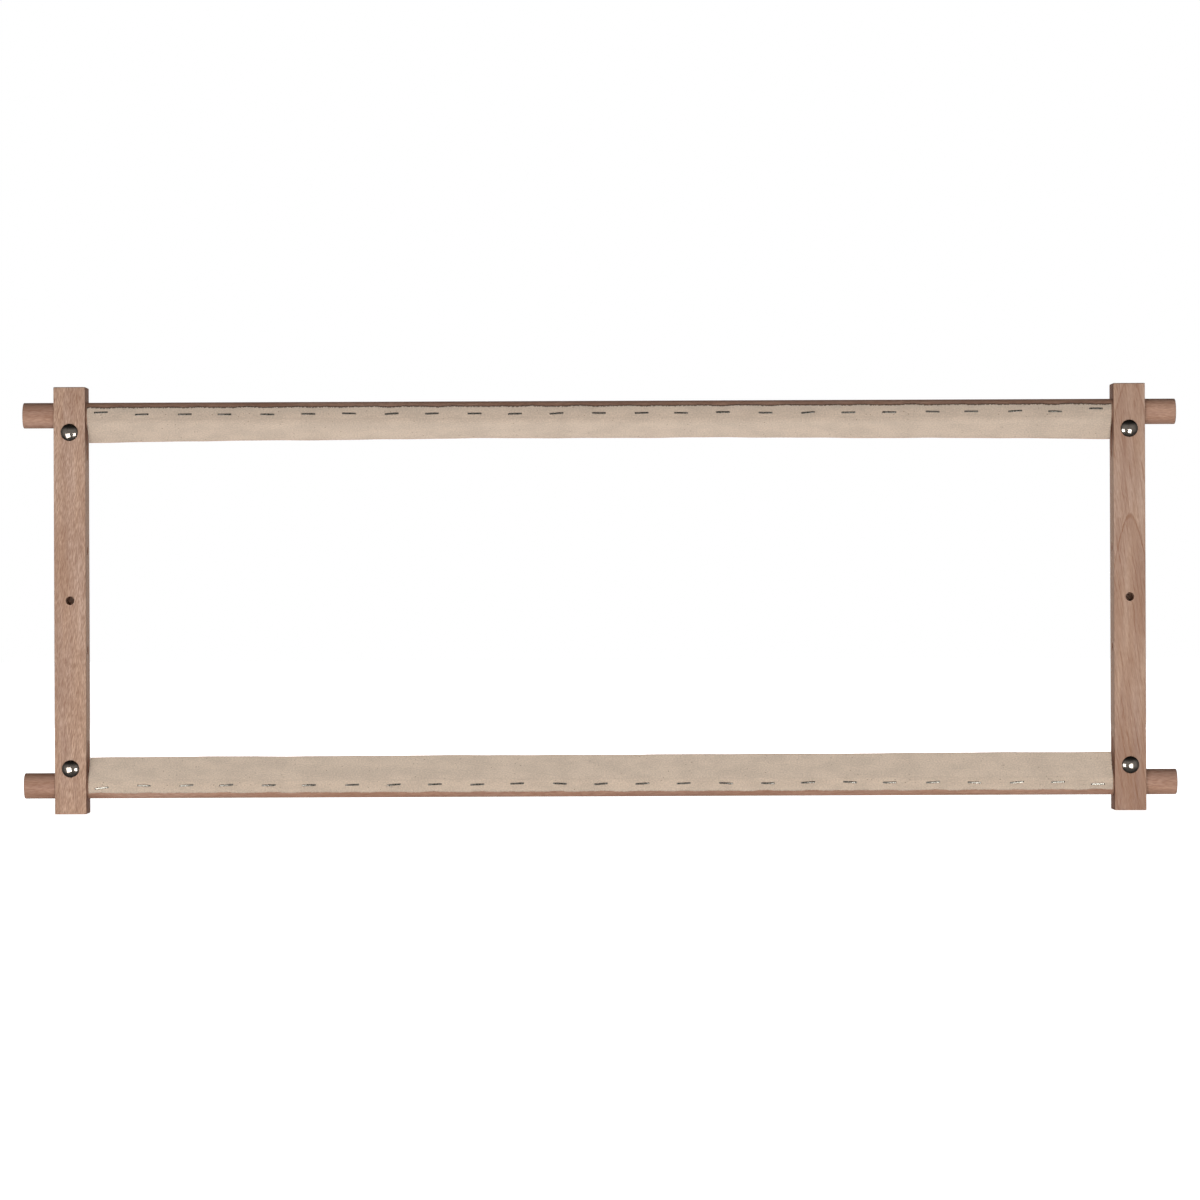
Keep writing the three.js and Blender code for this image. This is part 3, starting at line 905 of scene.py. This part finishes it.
def bar_body(side):
    """The sawn and bored bar, as points and faces."""
    points, faces = [], []
    levels = bar_levels()
    for deep, share in levels:
        x = bar_box[side][0][0] + deep
        points += [(x, bar_middle_y + y, bar_middle_z + z) for loop in bar_loops(share) for y, z in loop]
    per_level = len(points) // len(levels)
    last = (len(levels) - 1) * per_level
    start = 0
    for count in [len(loop) for loop in bar_loops(1)]:
        for base in range(start, start + last, per_level):
            for i in range(count):
                a, b = base + i, base + (i + 1) % count
                faces.append((a, b, b + per_level, a + per_level))
        start += count
    flat = [[Vector((y, z, 0)) for y, z in loop] for loop in bar_loops(1)]
    for triangle in tessellate_polygon(flat):
        faces.append(tuple(triangle))
        faces.append(tuple(last + i for i in reversed(triangle)))
    return points, faces


print("levels through a bar:", len(bar_levels()))

# %% Drill the bars from the front
STAND_HOLE_RADIUS, STAND_HOLE_DEPTH, DRILL_POINT = 3.1, 22.0, 1.8
BOLT_HOLE_RADIUS, MOUTH_FLARE, OVER = 2.8, 0.35, 1.0
POCKET_HALF, POCKET_DEPTH = 3.0, 3.9


def drill(side, z, radius, depth=None):
    """A cutter from the front, whose mouths flare a little; without a depth it goes through."""
    wide = radius + MOUTH_FLARE
    mouth = [(wide + OVER, -OVER), (wide - 0.05, -0.02), (radius + MOUTH_FLARE * 0.35, 0.18), (radius, 0.5)]
    profile = [(0, bar_front - OVER)] + [(r, bar_front + deep) for r, deep in mouth]
    if depth:
        profile += [(radius, bar_front + depth - DRILL_POINT), (0, bar_front + depth)]
    else:
        profile += [(r, bar_back - deep) for r, deep in reversed(mouth)] + [(0, bar_back + OVER)]
    points, faces = turned(profile, 40)
    return solid("drill", across_bar(side, 0, z, points), faces)


bars = {}
for side in SIDES:
    bar = new_object(f"{side}_bar_wood", *bar_body(side), bar_beech[side])
    volume = point_outwards(bar)
    combine(bar, drill(side, bar_middle_z, STAND_HOLE_RADIUS, STAND_HOLE_DEPTH), "DIFFERENCE")
    for end in ENDS:
        combine(bar, drill(side, clamp_z[end], BOLT_HOLE_RADIUS), "DIFFERENCE")
        combine(bar, square_peg(side, end, POCKET_HALF, -OVER, POCKET_DEPTH), "DIFFERENCE")
    finish_mesh(bar, 14)
    bars[side] = bar
    print(bar.name, len(bar.data.polygons), "faces,", open_edges(bar), "open edges,", round(volume), "mm3")

# %% [markdown]
# ## The rollers
#
# A roller is a plain beech dowel. It is turned from one profile: a flat end with a second
# ring close to its rim, which keeps the end's shading flat, then a rounded edge.

# %% Rollers
ROLLER_EDGE = 0.9


def roller_profile():
    """Radius and place along the roller, from one end to the other."""
    half, r, edge = roller_half, roller_radius, ROLLER_EDGE
    start = [(0, -half), (r - edge - 0.3, -half), *arc(r - edge, -half + edge, edge, -90, 0, 8)]
    start.append((r, -half + edge + 0.4))
    return start + [(x, -y) for x, y in reversed(start)]


rollers = {}
for end in ENDS:
    points, faces = turned(roller_profile(), 128)
    placed = [(c, roller_y + a, roller_z[end] + b) for a, b, c in points]
    rollers[end] = solid(f"{end}_roller_wood", placed, faces, roller_beech)
    finish_mesh(rollers[end], 35)
    print(rollers[end].name, open_edges(rollers[end]), "open edges")

# %% [markdown]
# ## The clamp bolts
#
# Each clamp has a round-headed bolt with a square neck that bites into the wood, so no
# spanner is needed at the front. The head is a true dome, because its reflections are most
# of what the eye sees of it, and behind the nut the thread shows, cut as one helix: the
# radius at each point depends on its height and its angle together.

# %% Bolts
HEAD_RADIUS, HEAD_HEIGHT, HEAD_RIM, HEAD_EDGE = 6.5, 3.1, 0.4, 0.12
BOLT_RADIUS, BOLT_LENGTH = 2.5, 40.0
NECK_HALF, NECK_LENGTH = 2.7, 3.6
PITCH, THREAD_DEPTH, THREAD_LENGTH, TIP = 0.8, 0.42, 20.0, 0.8
hardware = {}


def head_profile():
    """The dome from its pole to the shank, as radius and height under the head."""
    rise = HEAD_HEIGHT - HEAD_RIM
    dome = (HEAD_RADIUS**2 + rise**2) / (2 * rise)
    reach = math.degrees(math.asin((HEAD_RADIUS - HEAD_EDGE) / dome))
    curve = arc(0, dome - HEAD_HEIGHT, dome, -90, reach - 90, 28)
    curve[0] = (0, -HEAD_HEIGHT)
    curve += [(HEAD_RADIUS - 0.02, -HEAD_RIM - 0.02), (HEAD_RADIUS, -HEAD_RIM + 0.1)]
    curve += [(HEAD_RADIUS, -HEAD_EDGE), (HEAD_RADIUS - HEAD_EDGE, 0)]
    return curve + [(BOLT_RADIUS + 0.3, 0), (BOLT_RADIUS, 0.02)]


def bolt_shape(sides=64):
    """A bolt along Z with its head's seat at 0 and its tip at BOLT_LENGTH."""
    rows = [(radius, up, 0) for radius, up in head_profile()]
    plain = BOLT_LENGTH - THREAD_LENGTH
    rows.append((BOLT_RADIUS, plain - 0.4, 0))
    count = round((THREAD_LENGTH - TIP) / PITCH * 8)
    for i in range(count + 1):
        rows.append((BOLT_RADIUS, plain + (THREAD_LENGTH - TIP) * i / count, min(1, i / 8)))
    rows += [(BOLT_RADIUS - 0.7, BOLT_LENGTH, 0), (0, BOLT_LENGTH, 0)]
    points, faces = turned([(radius, up) for radius, up, _ in rows], sides)
    depths = [depth for radius, _, depth in rows for _ in range(sides if radius else 1)]
    cut = []
    for (x, y, z), depth in zip(points, depths):
        turn = z / PITCH - math.atan2(y, x) / (2 * math.pi)
        groove = abs(2 * (turn % 1) - 1) * THREAD_DEPTH * depth
        radius = math.hypot(x, y)
        share = (radius - groove) / radius if radius else 1
        cut.append((x * share, y * share, z))
    return cut, faces


def on_all_clamps(kind, y, points, faces, sharp):
    """The same steel piece on each clamp, with its 0 at y; a bolt gets its square neck."""
    for side, end in CLAMPS:
        name = f"{side}_{end}_{kind}"
        made = solid(f"{name}_steel", across_bar(side, y, clamp_z[end], points), faces, plated)
        if kind == "bolt":
            combine(made, square_peg(side, end, NECK_HALF, -0.5, NECK_LENGTH), "UNION")
        finish_mesh(made, sharp)
        hardware[name] = made
    print(kind, "faces", len(made.data.polygons), "open edges", open_edges(made))


on_all_clamps("bolt", bar_front, *bolt_shape(), 38)

# %% [markdown]
# ## Washers and wing nuts
#
# A washer is a stamped ring, turned with eased rims. A wing nut is cast: its wings flow into
# the body with no sharp corner. Two wings and a body are first laid into each other as plain
# closed shapes, then remeshed as one skin and smoothed, which rounds the corners where they
# meet as a mould would, and last the hole is bored.

# %% Washers
WASHER_RADIUS, WASHER_THICKNESS, WASHER_EDGE, HOLE_RADIUS = 7.5, 1.2, 0.18, 2.8


def washer_profile():
    """The ring's section, closed."""
    e, t = WASHER_EDGE, WASHER_THICKNESS
    outer = arc(WASHER_RADIUS - e, e, e, -90, 0, 4) + arc(WASHER_RADIUS - e, t - e, e, 0, 90, 4)
    inner = arc(HOLE_RADIUS + e, t - e, e, 90, 180, 4) + arc(HOLE_RADIUS + e, e, e, 180, 270, 4)
    return outer + inner


on_all_clamps("washer", bar_back, *turned(washer_profile(), 72, closed=True), 35)

# %% Wing nuts: the plain shapes
NUT_BASE, NUT_TOP, NUT_HEIGHT = 5.5, 4.5, 5.2
WING_HALF_SPAN, WING_TALL, WING_THICK, WING_THIN = 12.5, 13.0, 2.6, 0.72
WING_ROOT, WING_FOOT, EAR = 1.2, 1.0, 3.3


def bent(start, knee, end, steps=12):
    """Points on a curve from start to end that is pulled towards knee."""
    made = []
    for t in [i / steps for i in range(steps + 1)]:
        first, second, third = (1 - t) ** 2, 2 * t * (1 - t), t * t
        made.append(tuple(first * s + second * k + third * e for s, k, e in zip(start, knee, end)))
    return made


def wing_outline():
    """One wing seen from its side, as distance from the bolt and height over the washer."""
    ear_x, ear_y = WING_HALF_SPAN - EAR, WING_TALL - EAR
    ear = arc(ear_x, ear_y, EAR, -45, 150, 28)
    foot, top = (NUT_BASE - 0.4, WING_FOOT), (NUT_TOP - 0.4, NUT_HEIGHT - 0.4)
    under = bent(foot, (ear_x, 2.5), ear[0])
    over = bent(ear[-1], (top[0] + 0.5, top[1] + 1.0), top)
    return [(WING_ROOT, WING_FOOT), *under, *ear[1:-1], *over, (WING_ROOT, top[1])]


def wing_shape(direction):
    """A wing as a closed plate that thins towards its ear."""
    outline = wing_outline()
    n = len(outline)
    points = []
    for face in (-1, 1):
        for r, h in outline:
            thick = WING_THICK * (1 - (1 - WING_THIN) * (r - WING_ROOT) / (WING_HALF_SPAN - WING_ROOT))
            points.append((direction * r, face * thick / 2, h))
    flat = tessellate_polygon([[Vector((r, h, 0)) for r, h in outline]])
    faces = [tuple(t) for t in flat] + [tuple(n + i for i in reversed(t)) for t in flat]
    faces += [(i, (i + 1) % n, n + (i + 1) % n, n + i) for i in range(n)]
    return points, faces


print("points round a wing:", len(wing_outline()))

# %% Wing nuts: cast as one skin, then bored
VOXEL = 0.24
SOFTEN, SOFTEN_TIMES = 0.5, 7


def cast_nut():
    """A wing nut about the origin along Z, its foot at 0 and its wings along X."""
    body = [(0, 0), (NUT_BASE - 0.35, 0), (NUT_BASE, 0.35)]
    body += [(NUT_TOP, NUT_HEIGHT - 0.4), (NUT_TOP - 0.4, NUT_HEIGHT), (0, NUT_HEIGHT)]
    nut = new_object("nut", *turned(body, 64))
    work = bmesh.new()
    work.from_mesh(nut.data)
    for direction in (-1, 1):
        wing = solid("wing", *wing_shape(direction))
        work.from_mesh(wing.data)
        bpy.data.objects.remove(wing)
    work.to_mesh(nut.data)
    work.free()
    skin = nut.modifiers.new("skin", "REMESH")
    skin.mode, skin.voxel_size = "VOXEL", VOXEL * MM
    soften = nut.modifiers.new("soften", "SMOOTH")
    soften.factor, soften.iterations = SOFTEN, SOFTEN_TIMES
    baked(nut)
    bore = [(0, -2), (HOLE_RADIUS + 2.3, -2), (HOLE_RADIUS, 0.3), (HOLE_RADIUS, NUT_HEIGHT - 0.3)]
    bore += [(HOLE_RADIUS + 0.9, NUT_HEIGHT + 0.6), (0, NUT_HEIGHT + 0.6)]
    combine(nut, solid("bore", *turned(bore, 48)), "DIFFERENCE")
    return nut


pattern = cast_nut()
shape = np.array([v.co for v in pattern.data.vertices]) / MM
skin_faces = [tuple(p.vertices) for p in pattern.data.polygons]
print("nut", shape.min(0).round(2), shape.max(0).round(2), len(skin_faces), "open", open_edges(pattern))
bpy.data.objects.remove(pattern)

# %% Wing nuts: one on each bolt, with the wings upright
upright = [(b, -a, c) for a, b, c in shape]
on_all_clamps("wing_nut", bar_back + WASHER_THICKNESS, upright, skin_faces, 50)

# %% [markdown]
# ## The tapes
#
# A tape is a strip of stout cotton, 762 by 31.75 mm. One long edge is stapled to the roller;
# the tape lies on the roller's round, leaves it, and runs on nearly straight to the free edge
# that the canvas is sewn to. A cloth simulation would settle such a short stiff strip almost
# where it starts, so its shape is worked out instead: a point on the cloth is a distance
# along the tape and a distance across it, and the round of the roller turns that into a
# place. Small waves, the dents under the staples and the wavering cut edge are added on top.

# %% Staple places
STAPLES = 25
STAPLE_PITCH = 41.55 / 1.3465  # pixels in the photograph, over its pixels in a millimetre
STAPLE_DRIFT, STAPLE_SCATTER = 1.1, 0.35
MEAN_TILT, TILT_SPREAD = 1.0, 2.2  # in degrees
ACROSS_STAPLE = {"top": 6.7, "bottom": 6.3}
END_STAPLES_CLOSER = 1.6  # to the edge than the others of their row
first = -(STAPLES - 1) / 2 * STAPLE_PITCH
chance = random.Random(7)
staple_along, staple_tilt, staple_across = {}, {}, {}
for end in ENDS:
    drift = [chance.uniform(-STAPLE_DRIFT, STAPLE_DRIFT) for _ in range(STAPLES)]
    staple_along[end] = [first + i * STAPLE_PITCH + drift[i] for i in range(STAPLES)]
    staple_tilt[end] = [math.radians(chance.gauss(MEAN_TILT, TILT_SPREAD)) for _ in range(STAPLES)]
for end in ENDS:
    row = [ACROSS_STAPLE[end] + chance.uniform(-STAPLE_SCATTER, STAPLE_SCATTER) for _ in range(STAPLES)]
    row[0] -= END_STAPLES_CLOSER
    row[-1] -= END_STAPLES_CLOSER
    staple_across[end] = row
print("staples from", round(staple_along["top"][0], 1), "to", round(staple_along["top"][-1], 1))

# %% The tape's lie on its roller
SEAT_GAP, TAPE_THICKNESS = 0.25, 0.8
STAPLED_EDGE = {"top": 38.0, "bottom": 33.0}
LEAVES_AT = {"top": (42.0, 53.0, 42.0), "bottom": (41.0, 38.5, 34.0)}
MIDDLE_RADIUS = roller_radius + SEAT_GAP + TAPE_THICKNESS / 2
HALF_CROWN = 5.0
DENT, DENT_ALONG, DENT_ACROSS = 0.34, 1.6, 1.3
DRAWN_IN, DRAWN_ALONG = 0.4, 8.5
CUT_AT = {"top": 0.45, "bottom": 0.35}
CUT_WAVES = ((41, 0.14), (19, 0.14), (7.3, 0.1), (3.1, 0.08))
CUT_TEETH = {"top": 0.8, "bottom": 0}
CUT_SEED = {"top": 11, "bottom": 12}
ANY_PHASE = (0, 6.28)


def tape_place(end, along, across, lift):
    """Where points of the tape are: along it from its middle, across it from the stapled
    edge, and lift over the side that lies on the wood. The arguments are arrays."""
    left, centre, right = LEAVES_AT[end]
    share = along / TAPE_LENGTH + 0.5
    side = np.where(share < 0.5, left, right)
    leaves = np.radians(side + (centre - side) * np.sin(np.pi * np.clip(share, 0, 1)))
    angle = across / MIDDLE_RADIUS - math.radians(STAPLED_EDGE[end])
    beyond = np.maximum(angle - leaves, 0) * MIDDLE_RADIUS
    angle = np.minimum(angle, leaves)
    radius = roller_radius + SEAT_GAP + lift
    y = roller_y - np.cos(angle) * radius + np.sin(angle) * beyond
    z = roller_z[end] + FLIP[end] * (-np.sin(angle) * radius - np.cos(angle) * beyond)
    return np.stack([along, y, z], -1)


def staple_dents(end, along, across):
    """How far the cloth is pressed in near each staple's crown, in millimetres."""
    dent = np.zeros_like(along)
    for x, s, tilt in zip(staple_along[end], staple_across[end], staple_tilt[end]):
        down = across - s + (along - x) * math.tan(tilt) * FLIP[end]
        past = np.maximum(np.abs(along - x) - HALF_CROWN, 0) / DENT_ALONG
        dent = np.maximum(dent, np.exp(-(past**2) - (down / DENT_ACROSS) ** 2))
    return DENT * dent


def cut_edge(end, along):
    """How far the cut edge wavers: it is drawn in at the staples and bulges between them."""
    drawn_in, waver = np.zeros_like(along), np.zeros_like(along)
    for x in staple_along[end]:
        drawn_in = np.maximum(drawn_in, np.exp(-(((along - x) / DRAWN_ALONG) ** 2)))
    rng = np.random.default_rng(CUT_SEED[end])
    for wavelength, size in CUT_WAVES:
        waver += size * np.sin(2 * np.pi * along / wavelength + rng.uniform(*ANY_PHASE))
    teeth = np.abs((along / 1.7 + 0.4 * np.sin(along / 5)) % 1 - 0.5)
    return DRAWN_IN * drawn_in + CUT_AT[end] + waver + CUT_TEETH[end] * teeth


print("the cut edge lies at", cut_edge("top", np.linspace(-60, 60, 5)).round(2), "mm near the middle")

# %% Weave the tapes
ALONG_STEPS, ACROSS_STEPS = 1300, 34
TAPE_SEED = {"top": 21, "bottom": 22}
STAYS_FLAT = 14  # this much of the width, counted from the stapled edge
WAVES = ((190, 0.22), (83, 0.16), (37, 0.08))
WAVE_SLANT = 0.03
NIBBLE, NIBBLE_REACH = 0.07, 0.8  # how unevenly the tape's two ends are cut
FUZZ = 0.05
CORD, CORD_FROM_EDGE, CORD_WIDTH = 0.14, 0.5, 0.45  # the thick last threads of the free edge


def tape_sheet(end):
    """Along, across and place of the points of a tape's two sides, in rows and columns."""
    rng = np.random.default_rng(TAPE_SEED[end])
    u = np.linspace(-HALF_TAPE, HALF_TAPE, ALONG_STEPS + 1)
    start = cut_edge(end, u)
    # The columns stand closest at the stapled edge, where the cloth is dented.
    share = np.linspace(0, 1, ACROSS_STEPS + 1)
    share = 0.55 * share + 0.45 * share**2.2
    along = np.repeat(u[:, None], len(share), 1)
    across = start[:, None] + (TAPE_WIDTH - start[:, None]) * share[None, :]
    ends = np.exp(-((HALF_TAPE - np.abs(along)) / NIBBLE_REACH))
    nibble = sum(NIBBLE * np.sin(across * k + rng.uniform(*ANY_PHASE)) for k in (2.1, 3.7, 6.9))
    along = along - np.sign(along) * ends * np.abs(nibble)
    wave = np.zeros_like(along)
    for wavelength, size in WAVES:
        wave += size * np.sin(2 * np.pi * along / wavelength + rng.uniform(*ANY_PHASE) + across * WAVE_SLANT)
    wave *= np.clip((across - STAYS_FLAT) / STAYS_FLAT, 0, 1) ** 1.5
    dent = staple_dents(end, along, across)
    fuzz = FUZZ * np.sin(along * 1.9 + 3 * np.sin(across)) * np.sin(across * 2.3)
    cord = CORD * np.exp(-(((TAPE_WIDTH - CORD_FROM_EDGE - across) / CORD_WIDTH) ** 2))
    under = tape_place(end, along, across, wave)
    over = tape_place(end, along, across, TAPE_THICKNESS - dent + wave + fuzz * (dent < 0.1) + cord)
    return along, across, under, over


def tape_mesh(end):
    """A tape as one closed mesh, with its cut laid out as its UV map."""
    along, across, under, over = tape_sheet(end)
    rows, columns = along.shape
    points = np.concatenate([under.reshape(-1, 3), over.reshape(-1, 3)])
    from_edge = across - across[:, :1]
    from_edge = from_edge * TAPE_WIDTH / from_edge[:, -1:]
    cut = np.stack([along.ravel() + HALF_TAPE, from_edge.ravel()], -1)
    cut = np.concatenate([cut, cut])
    at = np.arange(rows * columns).reshape(rows, columns)
    top = at + rows * columns
    a, b, c, d = at[:-1, :-1], at[1:, :-1], at[1:, 1:], at[:-1, 1:]
    faces = np.stack([a, d, c, b], -1).reshape(-1, 4).tolist()
    faces += (np.stack([a, b, c, d], -1).reshape(-1, 4) + rows * columns).tolist()
    for low, high in ((at[:, 0], top[:, 0]), (top[:, -1], at[:, -1]), (top[0], at[0]), (at[-1], top[-1])):
        faces += np.stack([low[:-1], low[1:], high[1:], high[:-1]], -1).tolist()
    tape = new_object(f"{end}_tape", points, faces, cotton[end])
    layer = tape.data.uv_layers.new(name="cut")
    corner = np.zeros(len(tape.data.loops), int)
    tape.data.loops.foreach_get("vertex_index", corner)
    layer.data.foreach_set("uv", (cut[corner] * MM).astype(np.float32).ravel())
    return tape


tapes = {end: tape_mesh(end) for end in ENDS}
for end, tape in tapes.items():
    volume = point_outwards(tape)
    finish_mesh(tape, 60)
    print(tape.name, len(tape.data.polygons), "faces,", open_edges(tape), "open,", round(volume), "mm3")

# %% [markdown]
# ## Loose threads
#
# The stapled edge was cut, not woven, so short thread ends stand out all along it, and a few
# at the tape's two ends. They repeat by the hundred, which is what Geometry Nodes are for:
# the tree takes a row of points on the edge, each with the direction in which its thread
# leaves the cloth, and puts a bent, tapering thread on it, turned and sized by chance. The
# sizes that a tree is given are in metres.

# %% Running a tree on a row of points
def stored(name, kind):
    """What each point holds under this name."""
    return add("InputNamedAttribute", {"Name": name}, data_type=kind).outputs["Attribute"]


def turned_further(rotation, more):
    """A rotation followed by another about the axes that it turned."""
    return add("RotateRotation", {"Rotation": rotation, "Rotate By": more}, rotation_space="LOCAL")


def end_geometry(sockets_in, sockets_out, shape, rotation, **more):
    """Ends a tree with the shape on every point, made real, in its material."""
    sockets = {"Points": sockets_in["Geometry"], "Instance": shape, "Rotation": rotation, **more}
    real = add("RealizeInstances", {"Geometry": add("InstanceOnPoints", sockets)})
    coated = add("SetMaterial", {"Geometry": real, "Material": sockets_in["Material"]})
    feed(sockets_out["Geometry"], coated)
    lay_out()


def grown(name, points, attributes, tree, values):
    """A mesh object that a Geometry Nodes tree makes on points, in millimetres."""
    made = in_scene(name, mesh_of(name, points))
    for title, (kind, rows) in attributes.items():
        layer = made.data.attributes.new(title, kind, "POINT").data
        layer.foreach_set("vector" if kind == "FLOAT_VECTOR" else "value", np.array(rows, np.float32).ravel())
    modifier = made.modifiers.new("grown", "NODES")
    modifier.node_group = tree
    for item in tree.interface.items_tree:
        if item.item_type == "SOCKET" and item.in_out == "INPUT" and item.name in values:
            modifier[item.identifier] = values[item.name]
    baked(made)
    return made


# %% The thread tree
HALF_TURN = 3.14
threads_tree, threads_in, threads_out = new_group(
    "loose threads",
    "GeometryNodeTree",
    {
        "Geometry": "Geometry",
        "Length": 0.0009,
        "Thickness": 0.00011,
        "Spread": 0.6,
        "Seed": 1,
        "Material": "Material",
    },
    {"Geometry": "Geometry"},
)
bow = {"Resolution": 4, "Start": (0, 0, -0.25), "Middle": (0.05, 0, 0.5), "End": (0.3, 0.1, 1.0)}
taper = ramp(add("SplineParameter").outputs["Factor"], 0.0, 1.0, 1.0, 0.35, smooth=False)
bow = add("SetCurveRadius", {"Curve": add("CurveQuadraticBezier", bow), "Radius": taper})
thin = calc("DIVIDE", threads_in["Thickness"], threads_in["Length"])
section = add("CurvePrimitiveCircle", {"Resolution": 5, "Radius": times(thin, 0.5)})
tube = add("CurveToMesh", {"Curve": bow, "Profile Curve": section, "Fill Caps": True})
aligned = add("AlignRotationToVector", {"Vector": stored("leaving", "FLOAT_VECTOR")}, axis="Z")
spread, seed = threads_in["Spread"], threads_in["Seed"]
less = times(spread, -1)
limits = {0: joined(X=less, Y=less, Z=-HALF_TURN), 1: joined(X=spread, Y=spread, Z=HALF_TURN)}
turn = add("RandomValue", {**limits, "Seed": seed}, data_type="FLOAT_VECTOR")
longer = add("RandomValue", {2: 0.35, 3: 1.25, "Seed": plus(seed, 1)}, data_type="FLOAT").outputs[1]
size = times(longer, threads_in["Length"])
end_geometry(threads_in, threads_out, tube, turned_further(aligned, turn), Scale=size)
print("thread tree nodes", len(threads_tree.nodes))

# %% Threads along the edges
THREAD_SEED = {"top": (31, 5), "bottom": (32, 9)}
EDGE_STEP, END_STEP = 0.42, 0.55
loose_threads = {}
for end in ENDS:
    place_seed, tree_seed = THREAD_SEED[end]
    rng = np.random.default_rng(place_seed)
    u = np.arange(-HALF_TAPE + 0.3, HALF_TAPE - 0.3, EDGE_STEP)
    u = u + rng.uniform(-0.2, 0.2, len(u))
    s = cut_edge(end, u)
    lift = rng.uniform(0.1, TAPE_THICKNESS - 0.1, len(u))
    edge = tape_place(end, u, s, lift)
    away = edge - tape_place(end, u, s + 1.0, lift)
    v = np.arange(1.0, TAPE_WIDTH - 1.5, END_STEP)
    for x in (-HALF_TAPE + 0.25, HALF_TAPE - 0.25):
        x = np.full_like(v, x)
        edge = np.concatenate([edge, tape_place(end, x, v, rng.uniform(0.1, 0.7, len(v)))])
        outwards = [np.sign(x) * 0.6, 0.3 * rng.normal(size=len(v)), -np.ones(len(v))]
        away = np.concatenate([away, np.stack(outwards, -1)])
    values = {"Length": 0.0008, "Thickness": 0.00013, "Spread": 0.65, "Seed": tree_seed}
    values["Material"] = cotton_thread[end]
    leaving = {"leaving": ("FLOAT_VECTOR", away)}
    loose_threads[end] = grown(f"{end}_tape_threads", edge, leaving, threads_tree, values)
    print(loose_threads[end].name, len(edge), "threads,", len(loose_threads[end].data.polygons), "faces")

# %% [markdown]
# ## Staples
#
# Each tape is held by 25 wire staples, about 31 mm apart and never quite in line, as a hand
# tacker leaves them. A staple is a flattened wire bent twice: a 10.6 mm crown over the cloth
# and two legs that go through it into the wood. The tree bends the wire, and puts one on
# each point, turned to lie along the roller and tilted by that point's own angle.

# %% The staple tree
STAPLE_SIZES = {"Crown": 0.0106, "Leg": 0.004, "Wire Width": 0.0013, "Wire Height": 0.0006, "Bend": 0.0007}
staples_tree, staples_in, staples_out = new_group(
    "wire staples",
    "GeometryNodeTree",
    {"Geometry": "Geometry", **STAPLE_SIZES, "Material": "Material"},
    {"Geometry": "Geometry"},
)


def filleted(curve, radius, count):
    """A curve with round corners."""
    sockets = {"Curve": curve, "Radius": radius, "Count": count, "Limit Radius": True}
    return add("FilletCurve", sockets, mode="POLY")


# The four points of the wire are foot, shoulder, shoulder and foot.
number = add("InputIndex")
right = calc("GREATER_THAN", number, 1.5)
x = times(minus(right, 0.5), minus(staples_in["Crown"], staples_in["Wire Height"]))
foot = calc("GREATER_THAN", size_of(minus(number, 1.5)), 1.0)
z = times(foot, -1.0, staples_in["Leg"])
line = add("MeshLine", {"Count": 4, "Offset": (0, 0, 0)})
line = add("SetPosition", {"Geometry": line, "Position": joined(X=x, Z=z)})
wire = filleted(add("MeshToCurve", {"Mesh": line}), staples_in["Bend"], 6)
sides = {"Width": staples_in["Wire Height"], "Height": staples_in["Wire Width"]}
section = filleted(add("CurvePrimitiveQuadrilateral", sides), times(staples_in["Wire Height"], 0.42), 4)
staple = add("CurveToMesh", {"Curve": wire, "Profile Curve": section, "Fill Caps": True})
facing = add("EulerToRotation", {"Euler": joined(X=stored("round", "FLOAT"))})
tilted = add("EulerToRotation", {"Euler": joined(Z=stored("tilt", "FLOAT"))})
end_geometry(staples_in, staples_out, staple, turned_further(facing, tilted))
print("staple tree nodes", len(staples_tree.nodes))

# %% Staples on both tapes
CROWN_SUNK = 0.1
staples = {}
for end in ENDS:
    x, s = np.array(staple_along[end]), np.array(staple_across[end])
    place = tape_place(end, x, s, TAPE_THICKNESS - CROWN_SUNK)
    # A staple's crown looks along local +Z, which is turned from up to the cloth's outward side.
    angle = s / MIDDLE_RADIUS - math.radians(STAPLED_EDGE[end])
    turns = {"round": ("FLOAT", math.pi / 2 + FLIP[end] * angle), "tilt": ("FLOAT", staple_tilt[end])}
    values = {**STAPLE_SIZES, "Material": staple_wire}
    staples[end] = grown(f"{end}_staples", place, turns, staples_tree, values)
    finish_mesh(staples[end], 40)
    print(staples[end].name, len(staples[end].data.polygons), "faces", open_edges(staples[end]), "open")

# %% [markdown]
# ## Hand the pieces to the frame
#
# Each new piece takes the place of its CAD node, which is hidden, and rides on that node's body,
# so that it turns or slides with it. Staples and loose threads have no node of their own: they
# ride on the roller that carries their tape.

# %% Rides and replacements
for side, bar in bars.items():
    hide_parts(f"{side}_bar")
    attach(bar, f"{side}_bar")
for end in ENDS:
    body = f"{end}_roller"
    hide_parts(f"{end}_dowel")
    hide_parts(f"{end}_webbing")
    for piece, slot in (
        (rollers[end], "dowel_beech"),
        (tapes[end], "cotton_tape"),
        (loose_threads[end], "cotton_tape"),
        (staples[end], "plated_steel"),
    ):
        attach(piece, body)
for name, piece in hardware.items():
    side = name.split("_")[0]
    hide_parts(name)
    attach(piece, f"{side}_bar" if name.endswith("_bolt") else name)
